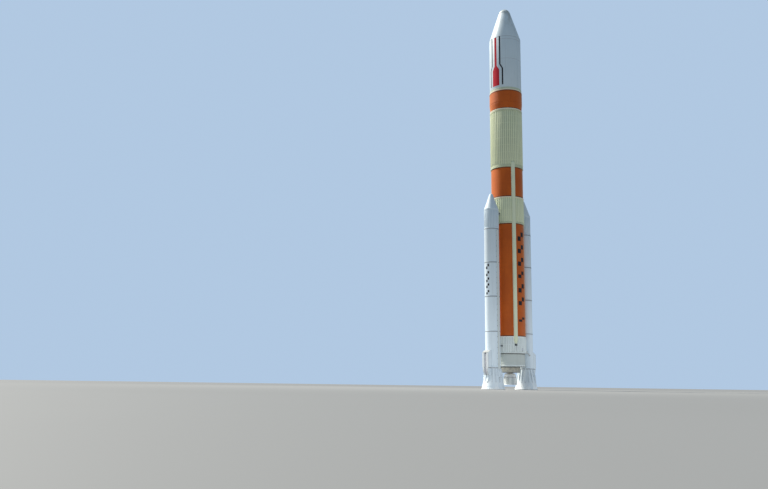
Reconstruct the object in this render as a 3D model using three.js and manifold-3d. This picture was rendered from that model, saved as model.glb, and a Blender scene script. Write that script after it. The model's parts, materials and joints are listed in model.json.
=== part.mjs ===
// A 1:10 model of a two-stage space rocket with two strap-on solid boosters, standing on its booster skirts.
// Units are millimetres of the model, so 100 is one metre of the full-size vehicle. +Z is up, the boosters
// lie on the X axis, and the origin is on the ground under the core's axis.
import * as THREE from "three";
import { mergeVertices } from "three/addons/utils/BufferGeometryUtils.js";
import Module from "manifold-3d";

const wasm = await Module();
wasm.setup();

// Driving dimensions
const GAP = 0.3; // left between pieces that rest on each other
const CORE_R = 200;
const CORE_SIDES = 64;
const STRINGER_OUT = 6; // how far a stringer stands out of the core's skin
const FRAME_OUT = 0.6; // how far an end frame of a ribbed section stands out of its stringers
const BOOSTER_X = 310; // from the core's axis to a booster's axis
const BOOSTER_R = 90.5;
const BOOSTER_SIDES = 40;
const TOTAL_HEIGHT = 5000;
const DEG = Math.PI / 180;

// Heights of the joints of the core, from the ground up
const Z = {
  heatShieldLow: 205,
  engineSectionLow: 281,
  aftSkirtLow: 436,
  hydrogenLow: 638,
  intertankLow: 2045,
  oxygenLow: 2385,
  interstageLow: 2772,
  secondStageLow: 3552,
  secondStageTankLow: 3640,
  fairingRingLow: 3800,
  fairingLow: 3825,
  fairingShoulder: 4550,
  noseCapLow: 4935,
};
// Heights of the joints of a booster: skirt top, four motor segments, forward skirt, nose cone
const BOOSTER_JOINTS = [264, 685, 1110, 1530, 1951];
const BOOSTER_SHOULDER = 2205;
const BOOSTER_TIP = 2415;

// Paints, as in the photograph
const paint = (color, roughness, metalness) =>
  new THREE.MeshStandardMaterial({ color, roughness, metalness });
const WHITE = paint(0xe4e6e4, 0.45, 0.0);
const CREAM = paint(0xcfceb0, 0.55, 0.0);
const ORANGE = paint(0xc8662a, 0.7, 0.0);
const GREY = paint(0xaeb2b0, 0.6, 0.0);
const METAL = paint(0xb9bdbd, 0.35, 0.9);
const RUBBER = paint(0x2c2c2c, 0.85, 0.0);

// Solids from three.js geometry, joined and cut by manifold-3d
function solid(geometry) {
  const bare = geometry.index ? geometry.toNonIndexed() : geometry.clone();
  const merged = mergeVertices(
    new THREE.BufferGeometry().setAttribute(
      "position",
      bare.getAttribute("position"),
    ),
    1e-3,
  );
  const vertProperties = merged.attributes.position.array;
  const triVerts = new Uint32Array(merged.index.array);
  const made = new wasm.Manifold(
    new wasm.Mesh({ numProp: 3, vertProperties, triVerts }),
  );
  if (made.volume() > 0) return made;
  for (let i = 0; i < triVerts.length; i += 3)
    [triVerts[i + 1], triVerts[i + 2]] = [triVerts[i + 2], triVerts[i + 1]];
  return new wasm.Manifold(
    new wasm.Mesh({ numProp: 3, vertProperties, triVerts }),
  );
}

function geometryOf(shape) {
  const mesh = shape.getMesh();
  return new THREE.BufferGeometry()
    .setAttribute(
      "position",
      new THREE.BufferAttribute(new Float32Array(mesh.vertProperties), 3),
    )
    .setIndex(new THREE.BufferAttribute(new Uint32Array(mesh.triVerts), 1));
}

// A profile of [radius, height] pairs turned about a vertical axis at x, y
function turned(profile, sides, x = 0, y = 0) {
  const points = profile.map(([r, z]) => new THREE.Vector2(r, z));
  const geometry = new THREE.LatheGeometry(points, sides);
  return solid(geometry.rotateX(Math.PI / 2).translate(x, y, 0));
}

function disc(r, low, high, sides, x = 0, y = 0) {
  return turned([[0, low], [r, low], [r, high], [0, high]], sides, x, y);
}

function box([x0, x1], [y0, y1], [z0, z1], turn = 0, cx = 0) {
  const geometry = new THREE.BoxGeometry(x1 - x0, y1 - y0, z1 - z0)
    .translate((x0 + x1) / 2, (y0 + y1) / 2, (z0 + z1) / 2)
    .rotateZ(turn)
    .translate(cx, 0, 0);
  return solid(geometry);
}

// An outline in the plane of radius and height, made into a plate of some width that stands out at an angle
function radialPlate(outline, width, turn, cx = 0) {
  const shape = new THREE.Shape(
    outline.map(([r, z]) => new THREE.Vector2(r, z)),
  );
  const geometry = new THREE.ExtrudeGeometry(shape, {
    depth: width,
    bevelEnabled: false,
    steps: 1,
  })
    .rotateX(Math.PI / 2)
    .translate(0, width / 2, 0)
    .rotateZ(turn)
    .translate(cx, 0, 0);
  return solid(geometry);
}

function rod(from, to, r, sides) {
  const a = new THREE.Vector3(...from);
  const b = new THREE.Vector3(...to);
  const along = b.clone().sub(a);
  const turn = new THREE.Quaternion().setFromUnitVectors(
    new THREE.Vector3(0, 1, 0),
    along.clone().normalize(),
  );
  const middle = a.add(b).multiplyScalar(0.5);
  const geometry = new THREE.CylinderGeometry(r, r, along.length(), sides)
    .applyQuaternion(turn)
    .translate(middle.x, middle.y, middle.z);
  return solid(geometry);
}

const joined = (shapes) => shapes.reduce((a, b) => a.add(b));

const rocket = new THREE.Group();
function addNode(name, material, shape) {
  const mesh = new THREE.Mesh(geometryOf(shape), material);
  mesh.name = name;
  rocket.add(mesh);
}

// A skin with stringers along it, a round outline with flat-topped ribs pulled straight up, and a frame round
// its head and, if it is told to, its foot
function stringered(skinR, outerR, count, low, high, sides, frames, cx = 0) {
  const pitch = (2 * Math.PI) / count;
  const FOOT_SHARE = 0.27; // half a rib's foot, as a share of the pitch
  const TOP_SHARE = 0.17;
  const outline = new THREE.Shape();
  for (let i = 0; i < count; i++) {
    for (const [share, r] of [
      [-FOOT_SHARE, skinR],
      [-TOP_SHARE, outerR],
      [TOP_SHARE, outerR],
      [FOOT_SHARE, skinR],
    ]) {
      const angle = (i + share) * pitch;
      const put = i === 0 && share === -FOOT_SHARE ? "moveTo" : "lineTo";
      outline[put](r * Math.cos(angle), r * Math.sin(angle));
    }
  }
  const geometry = new THREE.ExtrudeGeometry(outline, {
    depth: high - low,
    bevelEnabled: false,
    steps: 1,
  });
  const ribbed = solid(geometry.translate(cx, 0, low));
  const frameR = outerR + FRAME_OUT;
  const head = disc(frameR, high - frames.head, high, sides, cx);
  return frames.foot
    ? joined([ribbed, head, disc(frameR, low, low + frames.foot, sides, cx)])
    : ribbed.add(head);
}

// The core's stack. Each row: node, paint, stringers, radius at the foot, radius at the top, low, high
const FAIRING_R = 203.5;
const SECOND_STAGE_R = 209;
const CORE_FRAMES = { foot: 12, head: 14 };
const STACK = [
  ["aft_skirt", WHITE, 60, CORE_R, CORE_R, Z.aftSkirtLow, Z.hydrogenLow],
  ["hydrogen_tank", ORANGE, 0, CORE_R, CORE_R, Z.hydrogenLow, Z.intertankLow],
  ["intertank", CREAM, 48, CORE_R, CORE_R, Z.intertankLow, Z.oxygenLow],
  ["oxygen_tank", ORANGE, 0, CORE_R, CORE_R, Z.oxygenLow, Z.interstageLow],
  ["interstage", CREAM, 48, CORE_R, CORE_R, Z.interstageLow, Z.secondStageLow],
  ["second_stage_skirt", ORANGE, 0, CORE_R, SECOND_STAGE_R, Z.secondStageLow, Z.secondStageTankLow],
  ["second_stage_tank", ORANGE, 0, SECOND_STAGE_R, SECOND_STAGE_R, Z.secondStageTankLow, Z.fairingRingLow],
  ["fairing_base_ring", CREAM, 0, FAIRING_R + 3, FAIRING_R + 1, Z.fairingRingLow, Z.fairingLow],
];
for (const [node, material, stringers, lowR, highR, low, high] of STACK) {
  const top = high - GAP;
  addNode(
    node,
    material,
    stringers
      ? stringered(lowR, lowR + STRINGER_OUT, stringers, low, top, CORE_SIDES, CORE_FRAMES)
      : turned([[0, low], [lowR, low], [highR, top], [0, top]], CORE_SIDES),
  );
}

// Everything the core fills, grown by a gap, to cut what is fastened to it
function coreSpace(grow) {
  const profile = [[0, Z.aftSkirtLow]];
  for (const [, , stringers, lowR, highR, low, high] of STACK) {
    const out = grow + (stringers ? STRINGER_OUT + FRAME_OUT : 0);
    profile.push([lowR + out, low], [highR + out, high]);
  }
  profile.push([0, Z.fairingLow]);
  return turned(profile, CORE_SIDES);
}

// Payload fairing: two half shells that meet at the plane x = 0, and a round nose cap
const NOSE_R = 78;
const CONE_HALF_ANGLE = 18 * DEG;
const noseCentre = TOTAL_HEIGHT - NOSE_R;
const coneRadiusAt = (z) =>
  (NOSE_R / Math.sin(CONE_HALF_ANGLE) + noseCentre - z) *
  Math.tan(CONE_HALF_ANGLE);
{
  const capR = coneRadiusAt(Z.noseCapLow);
  const fairing = turned(
    [
      [0, Z.fairingLow],
      [FAIRING_R, Z.fairingLow],
      [FAIRING_R, Z.fairingShoulder],
      [capR, Z.noseCapLow - GAP],
      [0, Z.noseCapLow - GAP],
    ],
    CORE_SIDES,
  );
  const sides = [-2 * FAIRING_R, 2 * FAIRING_R];
  const heights = [Z.fairingLow - 1, TOTAL_HEIGHT];
  const west = box([-2 * FAIRING_R, -GAP / 2], sides, heights);
  const east = box([GAP / 2, 2 * FAIRING_R], sides, heights);
  addNode("fairing_half_a", WHITE, fairing.intersect(west));
  addNode("fairing_half_b", WHITE, fairing.intersect(east));

  const CAP_STEPS = 5;
  const cap = [[0, Z.noseCapLow], [capR, Z.noseCapLow]];
  for (let i = 0; i <= CAP_STEPS; i++) {
    const up = CONE_HALF_ANGLE + (i / CAP_STEPS) * (Math.PI / 2 - CONE_HALF_ANGLE);
    cap.push([
      i === CAP_STEPS ? 0 : NOSE_R * Math.cos(up),
      noseCentre + NOSE_R * Math.sin(up),
    ]);
  }
  addNode("nose_cap", WHITE, turned(cap, CORE_SIDES));
}

// Engine section under the aft skirt, with a flange at its foot, and the round shield round the engine's head
const ENGINE_SECTION_R = 188;
const SHIELD_R = 125;
const SHIELD_WALL = 7;
const FLANGE_RECESS = 3;
const SHIELD_TOP = Z.engineSectionLow + FLANGE_RECESS - GAP;
const SHIELD_CEILING = SHIELD_TOP - 8;
{
  const flangeR = 195;
  const flangeInnerR = 150;
  const recessTop = Z.engineSectionLow + FLANGE_RECESS;
  const flangeTop = Z.engineSectionLow + 11;
  const top = Z.aftSkirtLow - GAP;
  addNode(
    "engine_section",
    GREY,
    turned(
      [
        [0, recessTop],
        [flangeInnerR, recessTop],
        [flangeInnerR, Z.engineSectionLow],
        [flangeR, Z.engineSectionLow],
        [flangeR, flangeTop],
        [ENGINE_SECTION_R, flangeTop],
        [ENGINE_SECTION_R, top],
        [0, top],
      ],
      CORE_SIDES,
    ),
  );
  addNode(
    "heat_shield",
    GREY,
    turned(
      [
        [SHIELD_R - SHIELD_WALL, Z.heatShieldLow],
        [SHIELD_R, Z.heatShieldLow],
        [SHIELD_R, SHIELD_TOP],
        [0, SHIELD_TOP],
        [0, SHIELD_CEILING],
        [SHIELD_R - SHIELD_WALL, SHIELD_CEILING],
        [SHIELD_R - SHIELD_WALL, Z.heatShieldLow],
      ],
      56,
    ),
  );
}

// Engine gimbal: ears on the shield's ceiling hold a cross by its pins along Y, and the cross carries the
// engine's ears by its pins along X. Both axes pass through GIMBAL_Z on the core's axis.
const GIMBAL_Z = 238;
const PIN_R = 4;
const PIN_SIDES = 20;
const EAR = { inner: 12, outer: 18, half: 7, above: 8 };
const PIN_END = EAR.outer + 2;
const ENGINE_HEAD_Z = 218;
{
  const ceiling = SHIELD_CEILING - GAP;
  const plate = disc(24, ceiling - 5, ceiling, 32);
  const upperEars = [-1, 1].map((side) =>
    box(
      [-EAR.half, EAR.half],
      side > 0 ? [EAR.inner, EAR.outer] : [-EAR.outer, -EAR.inner],
      [GIMBAL_Z - EAR.above, ceiling - 4],
    ),
  );
  const acrossY = rod([0, -30, GIMBAL_Z], [0, 30, GIMBAL_Z], PIN_R + GAP, PIN_SIDES);
  addNode("gimbal_mount", METAL, joined([plate, ...upperEars]).subtract(acrossY));

  addNode(
    "gimbal_cross",
    METAL,
    joined([
      box([-8, 8], [-8, 8], [GIMBAL_Z - 8, GIMBAL_Z + 8]),
      rod([0, -PIN_END, GIMBAL_Z], [0, PIN_END, GIMBAL_Z], PIN_R, PIN_SIDES),
      rod([-PIN_END, 0, GIMBAL_Z], [PIN_END, 0, GIMBAL_Z], PIN_R, PIN_SIDES),
    ]),
  );

  // The engine's head and pumps, as plain blocks, with the ears on top
  const lowerEars = [-1, 1].map((side) =>
    box(
      side > 0 ? [EAR.inner, EAR.outer] : [-EAR.outer, -EAR.inner],
      [-EAR.half, EAR.half],
      [ENGINE_HEAD_Z - 1, GIMBAL_Z + EAR.above],
    ),
  );
  const acrossX = rod([-30, 0, GIMBAL_Z], [30, 0, GIMBAL_Z], PIN_R + GAP, PIN_SIDES);
  const head = turned(
    [[0, 196], [30, 196], [34, 206], [34, ENGINE_HEAD_Z], [0, ENGINE_HEAD_Z]],
    32,
  );
  const pumps = [
    disc(13, 200, 232, 24, 0, 46),
    disc(11, 200, 226, 24, 0, -44),
    box([-6, 6], [-46, 46], [204, 212]),
  ];
  addNode("engine_head", METAL, joined([head, ...lowerEars, ...pumps]).subtract(acrossX));
}

// A profile, running downwards, with flat hoops round it at some heights
function hooped(profile, heights, out, half) {
  const rows = [...profile];
  for (const z of heights) {
    const next = rows.findIndex(([, height]) => height < z);
    const [upper, lower] = [rows[next - 1], rows[next]];
    const radiusAt = (height) =>
      upper[0] + ((lower[0] - upper[0]) * (upper[1] - height)) / (upper[1] - lower[1]);
    rows.splice(
      next,
      0,
      [radiusAt(z + half), z + half],
      [radiusAt(z) + out, z + half],
      [radiusAt(z) + out, z - half],
      [radiusAt(z - half), z - half],
    );
  }
  return rows;
}

// Engine bell, hollow, with hoops and a rolled rim. Outer profile from the head down
const BELL_WALL = 4;
const BELL_LOW = 55;
{
  const BELL = [
    [30, 195.7],
    [56, 188],
    [71, 160],
    [79, 122],
    [80.5, 66],
  ];
  const HOOPS = [136, 98];
  const rim = [[83, 66], [83, BELL_LOW]];
  const inside = BELL.slice(1)
    .reverse()
    .map(([r, z]) => [r - BELL_WALL, z - BELL_WALL * 0.6]);
  addNode(
    "engine_bell",
    METAL,
    turned(
      [
        [0, 195.7],
        ...hooped(BELL, HOOPS, 2, 2),
        ...rim,
        [BELL[BELL.length - 1][0] - BELL_WALL, BELL_LOW],
        ...inside,
        [0, 190],
      ],
      40,
    ),
  );
}

// Cable ducts down both sides of the core, half a turn apart, wider than deep with sloping sides
const DUCT = {
  turn: 242 * DEG,
  base: 50,
  top: 34,
  out: 219,
  high: 2839,
  low: 592,
  taperLow: 535,
};
{
  const space = coreSpace(GAP);
  [0, 1].forEach((half) => {
    const section = new THREE.Shape([
      new THREE.Vector2(CORE_R - 8, -DUCT.base / 2),
      new THREE.Vector2(CORE_R + 5, -DUCT.base / 2),
      new THREE.Vector2(DUCT.out, -DUCT.top / 2),
      new THREE.Vector2(DUCT.out, DUCT.top / 2),
      new THREE.Vector2(CORE_R + 5, DUCT.base / 2),
      new THREE.Vector2(CORE_R - 8, DUCT.base / 2),
    ]);
    const turn = DUCT.turn + half * Math.PI;
    const length = DUCT.high - DUCT.taperLow;
    const run = solid(
      new THREE.ExtrudeGeometry(section, { depth: length, bevelEnabled: false, steps: 1 })
        .translate(0, 0, DUCT.taperLow)
        .rotateZ(turn),
    );
    // The ends slope: a long taper in depth and width at the foot, a short one at the top
    const sideShape = radialPlate(
      [
        [CORE_R - 20, DUCT.taperLow + 2],
        [CORE_R + 8, DUCT.taperLow + 2],
        [DUCT.out + 1, DUCT.low],
        [DUCT.out + 1, DUCT.high - 14],
        [CORE_R + 6, DUCT.high - 1],
        [CORE_R - 20, DUCT.high - 1],
      ],
      DUCT.base + 10,
      turn,
    );
    const face = new THREE.Shape([
      new THREE.Vector2(-8, DUCT.taperLow - 1),
      new THREE.Vector2(8, DUCT.taperLow - 1),
      new THREE.Vector2(DUCT.base / 2 + 1, DUCT.low),
      new THREE.Vector2(DUCT.base / 2 + 1, DUCT.high - 16),
      new THREE.Vector2(DUCT.base / 4, DUCT.high + 1),
      new THREE.Vector2(-DUCT.base / 4, DUCT.high + 1),
      new THREE.Vector2(-DUCT.base / 2 - 1, DUCT.high - 16),
      new THREE.Vector2(-DUCT.base / 2 - 1, DUCT.low),
    ]);
    const frontShape = solid(
      new THREE.ExtrudeGeometry(face, { depth: 60, bevelEnabled: false, steps: 1 })
        .rotateX(Math.PI / 2)
        .rotateZ(Math.PI / 2)
        .translate(CORE_R - 30, 0, 0)
        .rotateZ(turn),
    );
    addNode(
      half ? "cable_duct_rear" : "cable_duct_front",
      CREAM,
      run.intersect(sideShape).intersect(frontShape).subtract(space),
    );
  });
}

// Booster skirt: a flared cone, open below, with upright fins round its upper half
const SKIRT = {
  foot: 140,
  flange: 141.5,
  flangeHigh: 6,
  coneTop: 235,
  wall: 8,
  fins: 16,
  finWidth: 9,
  finTop: 256,
  finTopOut: 6, // how far a fin stands out of the skirt near its top and at its deepest
  finMid: 180,
  finMidOut: 11,
  finFoot: 82,
};
const skirtRadiusAt = (z) =>
  z >= SKIRT.coneTop
    ? BOOSTER_R
    : BOOSTER_R + ((SKIRT.foot - BOOSTER_R) * (SKIRT.coneTop - z)) / SKIRT.coneTop;
const FIN_ROOT = 4; // how far a fin reaches into the skirt's wall
const FIN_OUTLINE = [
  [BOOSTER_R - FIN_ROOT, SKIRT.finTop],
  [BOOSTER_R + SKIRT.finTopOut, SKIRT.finTop - 5],
  [skirtRadiusAt(SKIRT.finMid) + SKIRT.finMidOut, SKIRT.finMid],
  [skirtRadiusAt(SKIRT.finFoot) + 0.5, SKIRT.finFoot],
  [skirtRadiusAt(SKIRT.finFoot) - FIN_ROOT, SKIRT.finFoot],
  [skirtRadiusAt(SKIRT.finMid) - FIN_ROOT, SKIRT.finMid],
  [BOOSTER_R - FIN_ROOT, SKIRT.coneTop],
];

// Everything a booster fills, grown by a gap, fins included, to cut what is fastened to it
const JOINT_RING = { out: 1.7, high: 9 };
const FIN_PLAY = 0.2;
function boosterSpace(grow, cx) {
  const profile = [
    [0, 0],
    [SKIRT.flange + grow, 0],
    [skirtRadiusAt(SKIRT.finFoot) + grow, SKIRT.finFoot],
    [skirtRadiusAt(SKIRT.finMid) + SKIRT.finMidOut + FIN_PLAY + grow, SKIRT.finMid],
    [BOOSTER_R + SKIRT.finTopOut + FIN_PLAY + grow, SKIRT.finTop - 4],
    [BOOSTER_R + SKIRT.finTopOut + FIN_PLAY + grow, SKIRT.finTop + 1],
    [BOOSTER_R + grow, SKIRT.finTop + 1],
  ];
  for (const z of BOOSTER_JOINTS) {
    const r = BOOSTER_R + grow;
    profile.push(
      [r, z - grow],
      [r + JOINT_RING.out, z - grow],
      [r + JOINT_RING.out, z + JOINT_RING.high + grow],
      [r, z + JOINT_RING.high + grow],
    );
  }
  profile.push([BOOSTER_R + grow, BOOSTER_SHOULDER], [0, BOOSTER_SHOULDER]);
  return turned(profile, BOOSTER_SIDES, cx);
}

// A booster's nozzle hangs in a ball-shaped flexible bearing under the motor's rear dome
const NOZZLE_Z = 214;
const BEARING = { ball: 30, ringIn: 30.6, ringOut: 36.4, seat: 37, low: -24 * DEG, high: 24 * DEG };
const NOZZLE_LOW = 24;
// Points on a circle about the swivel's centre, in the plane of radius and height, from one angle to another
function arc(r, from, to, steps) {
  return Array.from({ length: steps + 1 }, (_, i) => {
    const angle = from + ((to - from) * i) / steps;
    return [r * Math.cos(angle), NOZZLE_Z + r * Math.sin(angle)];
  });
}

const bearingLow = BEARING.low + 8 * DEG;

function addBooster(side, letter) {
  const cx = side * BOOSTER_X;
  const outward = side > 0 ? 0 : Math.PI;
  const name = (part) => `booster_${letter}_${part}`;
  const space = boosterSpace(GAP, cx);

  // Nose cone with a round tip, which the cone's side runs into smoothly
  const TIP_R = 25;
  const tipUp = BOOSTER_TIP - TIP_R - BOOSTER_SHOULDER;
  const coneHalf = Math.acos(TIP_R / Math.hypot(BOOSTER_R, tipUp)) - Math.atan2(tipUp, BOOSTER_R);
  const tip = [];
  const TIP_STEPS = 4;
  for (let i = 0; i <= TIP_STEPS; i++) {
    const up = coneHalf + (i / TIP_STEPS) * (Math.PI / 2 - coneHalf);
    tip.push([
      i === TIP_STEPS ? 0 : TIP_R * Math.cos(up),
      BOOSTER_TIP - TIP_R + TIP_R * Math.sin(up),
    ]);
  }
  addNode(
    name("nose_cone"),
    WHITE,
    turned([[0, BOOSTER_SHOULDER], [BOOSTER_R, BOOSTER_SHOULDER], ...tip], BOOSTER_SIDES, cx),
  );

  // Ribbed forward skirt and the motor's four segments, each with a ring at its foot
  const [, , , , forwardLow] = BOOSTER_JOINTS;
  const BOOSTER_STRINGERS = 28;
  const forwardRing = disc(
    BOOSTER_R + JOINT_RING.out,
    forwardLow,
    forwardLow + JOINT_RING.high,
    BOOSTER_SIDES,
    cx,
  );
  addNode(
    name("forward_skirt"),
    WHITE,
    stringered(
      BOOSTER_R - 3,
      BOOSTER_R,
      BOOSTER_STRINGERS,
      forwardLow + JOINT_RING.high / 2,
      BOOSTER_SHOULDER - GAP,
      BOOSTER_SIDES,
      { head: 10 },
      cx,
    ).add(forwardRing),
  );
  for (let i = 0; i < BOOSTER_JOINTS.length - 1; i++) {
    const low = BOOSTER_JOINTS[i];
    const ringTop = low + JOINT_RING.high;
    const high = BOOSTER_JOINTS[i + 1] - GAP;
    addNode(
      name(`motor_segment_${i + 1}`),
      WHITE,
      turned(
        [
          [0, low],
          [BOOSTER_R + JOINT_RING.out, low],
          [BOOSTER_R + JOINT_RING.out, ringTop],
          [BOOSTER_R, ringTop],
          [BOOSTER_R, high],
          [0, high],
        ],
        BOOSTER_SIDES,
        cx,
      ),
    );
  }

  // Flared skirt with its fins
  const top = BOOSTER_JOINTS[0] - GAP;
  const shell = turned(
    [
      [SKIRT.flange - 17, 0],
      [SKIRT.flange, 0],
      [SKIRT.flange, SKIRT.flangeHigh],
      [skirtRadiusAt(SKIRT.flangeHigh), SKIRT.flangeHigh],
      [BOOSTER_R, SKIRT.coneTop],
      [BOOSTER_R, top],
      [BOOSTER_R - SKIRT.wall, top],
      [BOOSTER_R - SKIRT.wall, SKIRT.coneTop],
      [skirtRadiusAt(SKIRT.flangeHigh) - SKIRT.wall, SKIRT.flangeHigh],
      [SKIRT.flange - 17, 0],
    ],
    BOOSTER_SIDES,
    cx,
  );
  const fins = Array.from({ length: SKIRT.fins }, (_, i) =>
    radialPlate(
      FIN_OUTLINE,
      SKIRT.finWidth,
      outward + ((i + 0.5) * 2 * Math.PI) / SKIRT.fins,
      cx,
    ),
  );
  addNode(name("skirt"), WHITE, joined([shell, ...fins]));

  // Rear dome of the motor, ending in the bearing's seat; then the bearing and the nozzle
  const sides = 32;
  const seatTop = NOZZLE_Z + BEARING.seat * Math.sin(BEARING.high);
  addNode(
    name("rear_dome"),
    GREY,
    turned(
      [
        [0, top - 3],
        [0, top],
        [BOOSTER_R - SKIRT.wall - GAP, top],
        [BOOSTER_R - SKIRT.wall - GAP, 250],
        [62, 238],
        [46, 228],
        [44, NOZZLE_Z - 10],
        ...arc(BEARING.seat, -14 * DEG, BEARING.high, 4),
        [BEARING.seat * Math.cos(BEARING.high) - 2, seatTop + 12],
        [0, seatTop + 12],
      ],
      sides,
      cx,
    ),
  );
  addNode(
    name("flexible_bearing"),
    RUBBER,
    turned(
      [
        ...arc(BEARING.ringOut, bearingLow, BEARING.high, 4),
        ...arc(BEARING.ringIn, BEARING.high, bearingLow, 4),
        arc(BEARING.ringOut, bearingLow, BEARING.high, 1)[0],
      ],
      sides,
      cx,
    ),
  );
  const NOZZLE_WALL = 4;
  const bell = [
    [24, 190],
    [30, 168],
    [48, 90],
    [60, NOZZLE_LOW],
  ];
  addNode(
    name("nozzle"),
    GREY,
    turned(
      [
        [0, NOZZLE_Z + BEARING.ball * Math.sin(BEARING.high)],
        ...arc(BEARING.ball, BEARING.high, BEARING.low, 4),
        ...bell,
        ...bell
          .slice(1)
          .reverse()
          .map(([r, z]) => [r - NOZZLE_WALL, z]),
        [0, 172],
      ],
      sides,
      cx,
    ),
  );

  // Raceway along the motor, a quarter turn round from the booster's outer side
  const RACEWAY = { turn: 90 * DEG, width: 28, out: 99, low: 276, high: 1936 };
  const raceway = box(
    [BOOSTER_R - 8, RACEWAY.out],
    [-RACEWAY.width / 2, RACEWAY.width / 2],
    [RACEWAY.low, RACEWAY.high],
    outward + RACEWAY.turn,
    cx,
  );
  addNode(name("raceway"), WHITE, raceway.subtract(space));

  // Equipment pod on the outer side, over the lowest joint, with a long recess between two flat rails
  const POD = { width: 96, out: 135, footOut: 110, high: 462, faceHigh: 436, faceLow: 262, low: 168 };
  const RECESS = { width: 32, deep: 5, high: 426, low: 180 };
  const pod = radialPlate(
    [
      [BOOSTER_R - 25, POD.high],
      [BOOSTER_R + 10, POD.high],
      [POD.out, POD.faceHigh],
      [POD.out, POD.faceLow],
      [POD.footOut, POD.low],
      [BOOSTER_R - 10, POD.low],
    ],
    POD.width,
    outward,
    cx,
  );
  const slope = (POD.out - POD.footOut) / (POD.faceLow - POD.low);
  const recessFoot = POD.footOut + (RECESS.low - POD.low) * slope - RECESS.deep;
  const recess = radialPlate(
    [
      [POD.out - RECESS.deep, RECESS.high],
      [POD.out + RECESS.deep, RECESS.high],
      [POD.out + RECESS.deep, RECESS.low],
      [recessFoot, RECESS.low],
      [POD.out - RECESS.deep, POD.faceLow],
    ],
    RECESS.width,
    outward,
    cx,
  );
  addNode(name("equipment_pod"), WHITE, pod.subtract(space).subtract(recess));
}
addBooster(-1, "a");
addBooster(1, "b");

// Fittings between boosters and core: wide blocks near the top and the foot, and a slanting sway strut
{
  const core = coreSpace(GAP);
  // Each row: name, half width, low, high
  const FITTINGS = [
    ["forward_fitting", 47, 2152, 2186],
    ["aft_fitting", 57, 508, 540],
  ];
  [-1, 1].forEach((side) => {
    const letter = side < 0 ? "a" : "b";
    const booster = boosterSpace(GAP, side * BOOSTER_X);
    for (const [part, half, low, high] of FITTINGS) {
      const inner = CORE_R - 20;
      const outer = BOOSTER_X - BOOSTER_R + 25;
      const block = box(
        side < 0 ? [-outer, -inner] : [inner, outer],
        [-half, half],
        [low, high],
      );
      addNode(`${part}_${letter}`, METAL, block.subtract(core).subtract(booster));
    }
    // The strut leaves the core's skirt on the side away from the raceway and ends on the booster's flank
    const turn = (side > 0 ? -49 : 131) * DEG;
    const coreEnd = [
      (CORE_R + 4) * Math.cos(turn),
      (CORE_R + 4) * Math.sin(turn),
      456,
    ];
    const boosterEnd = [side * (BOOSTER_X - 30), -side * 87, 424];
    const strut = rod(coreEnd, boosterEnd, 6, 12);
    const lug = ([x, y, z], r, half) => rod([x, y, z - half], [x, y, z + half], r, 16);
    const lugs = [lug(coreEnd, 13, 11), lug(boosterEnd, 11, 9)];
    addNode(
      `sway_strut_${letter}`,
      METAL,
      joined([strut, ...lugs]).subtract(core).subtract(booster),
    );
  });
}

export default rocket;
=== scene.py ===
"""Looks of a 1:10 model of a two-stage space rocket with two strap-on boosters.

Shapes are worked out in millimetres of the model and become metres in piece(). +Z is up, the core's axis
is Z, and the boosters' axes lie on X. A booster's pieces are made once, with its outer side towards +X, and
placed twice. Angles round an axis are in degrees from +X, unless a comment says radians.
"""

import json
import math

import bmesh
import bpy
import numpy as np
from mathutils import Matrix, Vector


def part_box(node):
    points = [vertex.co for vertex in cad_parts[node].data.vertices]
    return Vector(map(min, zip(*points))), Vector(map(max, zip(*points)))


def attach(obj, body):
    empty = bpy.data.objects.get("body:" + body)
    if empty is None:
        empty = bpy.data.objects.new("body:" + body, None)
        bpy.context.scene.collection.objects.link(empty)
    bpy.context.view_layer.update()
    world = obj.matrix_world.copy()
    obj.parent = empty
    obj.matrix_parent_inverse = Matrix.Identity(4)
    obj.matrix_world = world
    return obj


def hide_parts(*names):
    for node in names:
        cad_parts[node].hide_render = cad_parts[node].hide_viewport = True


MM = 0.001
TAU = 2 * math.pi
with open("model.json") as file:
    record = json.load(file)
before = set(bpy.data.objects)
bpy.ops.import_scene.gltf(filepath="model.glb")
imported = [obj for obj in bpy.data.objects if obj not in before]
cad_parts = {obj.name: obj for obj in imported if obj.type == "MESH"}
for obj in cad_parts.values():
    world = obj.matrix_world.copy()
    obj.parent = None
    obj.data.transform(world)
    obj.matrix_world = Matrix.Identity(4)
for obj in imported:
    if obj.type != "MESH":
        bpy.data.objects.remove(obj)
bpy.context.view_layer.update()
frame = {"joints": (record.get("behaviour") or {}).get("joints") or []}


# Sizes that follow from the frame


def span(node):
    """Half width, lowest and highest point of a CAD node, in millimetres."""
    low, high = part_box(node)
    return (high.x - low.x) / 2 / MM, low.z / MM, high.z / MM


CORE_R = span("hydrogen_tank")[0]
STRINGER_OUT = 6.0
FRAME_OUT = 0.6
SECTION_R = CORE_R + STRINGER_OUT
FAIRING_R = span("fairing_half_a")[0] * 2
BOOSTER_R, CONE_LOW, BOOSTER_TIP = span("booster_a_nose_cone")
BOOSTER_X = -sum(corner.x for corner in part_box("booster_a_nose_cone")) / 2 / MM
CORE_SIDES, BOOSTER_SIDES = 192, 128
GAP = 0.3


# Shapes: each function gives closed shells as (points, faces), in millimetres


def at(r, a, z=0.0, across=0.0):
    """The point at radius r, direction a in radians and height z, moved sideways by across."""
    cos, sin = math.cos(a), math.sin(a)
    return r * cos - across * sin, r * sin + across * cos, z


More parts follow.
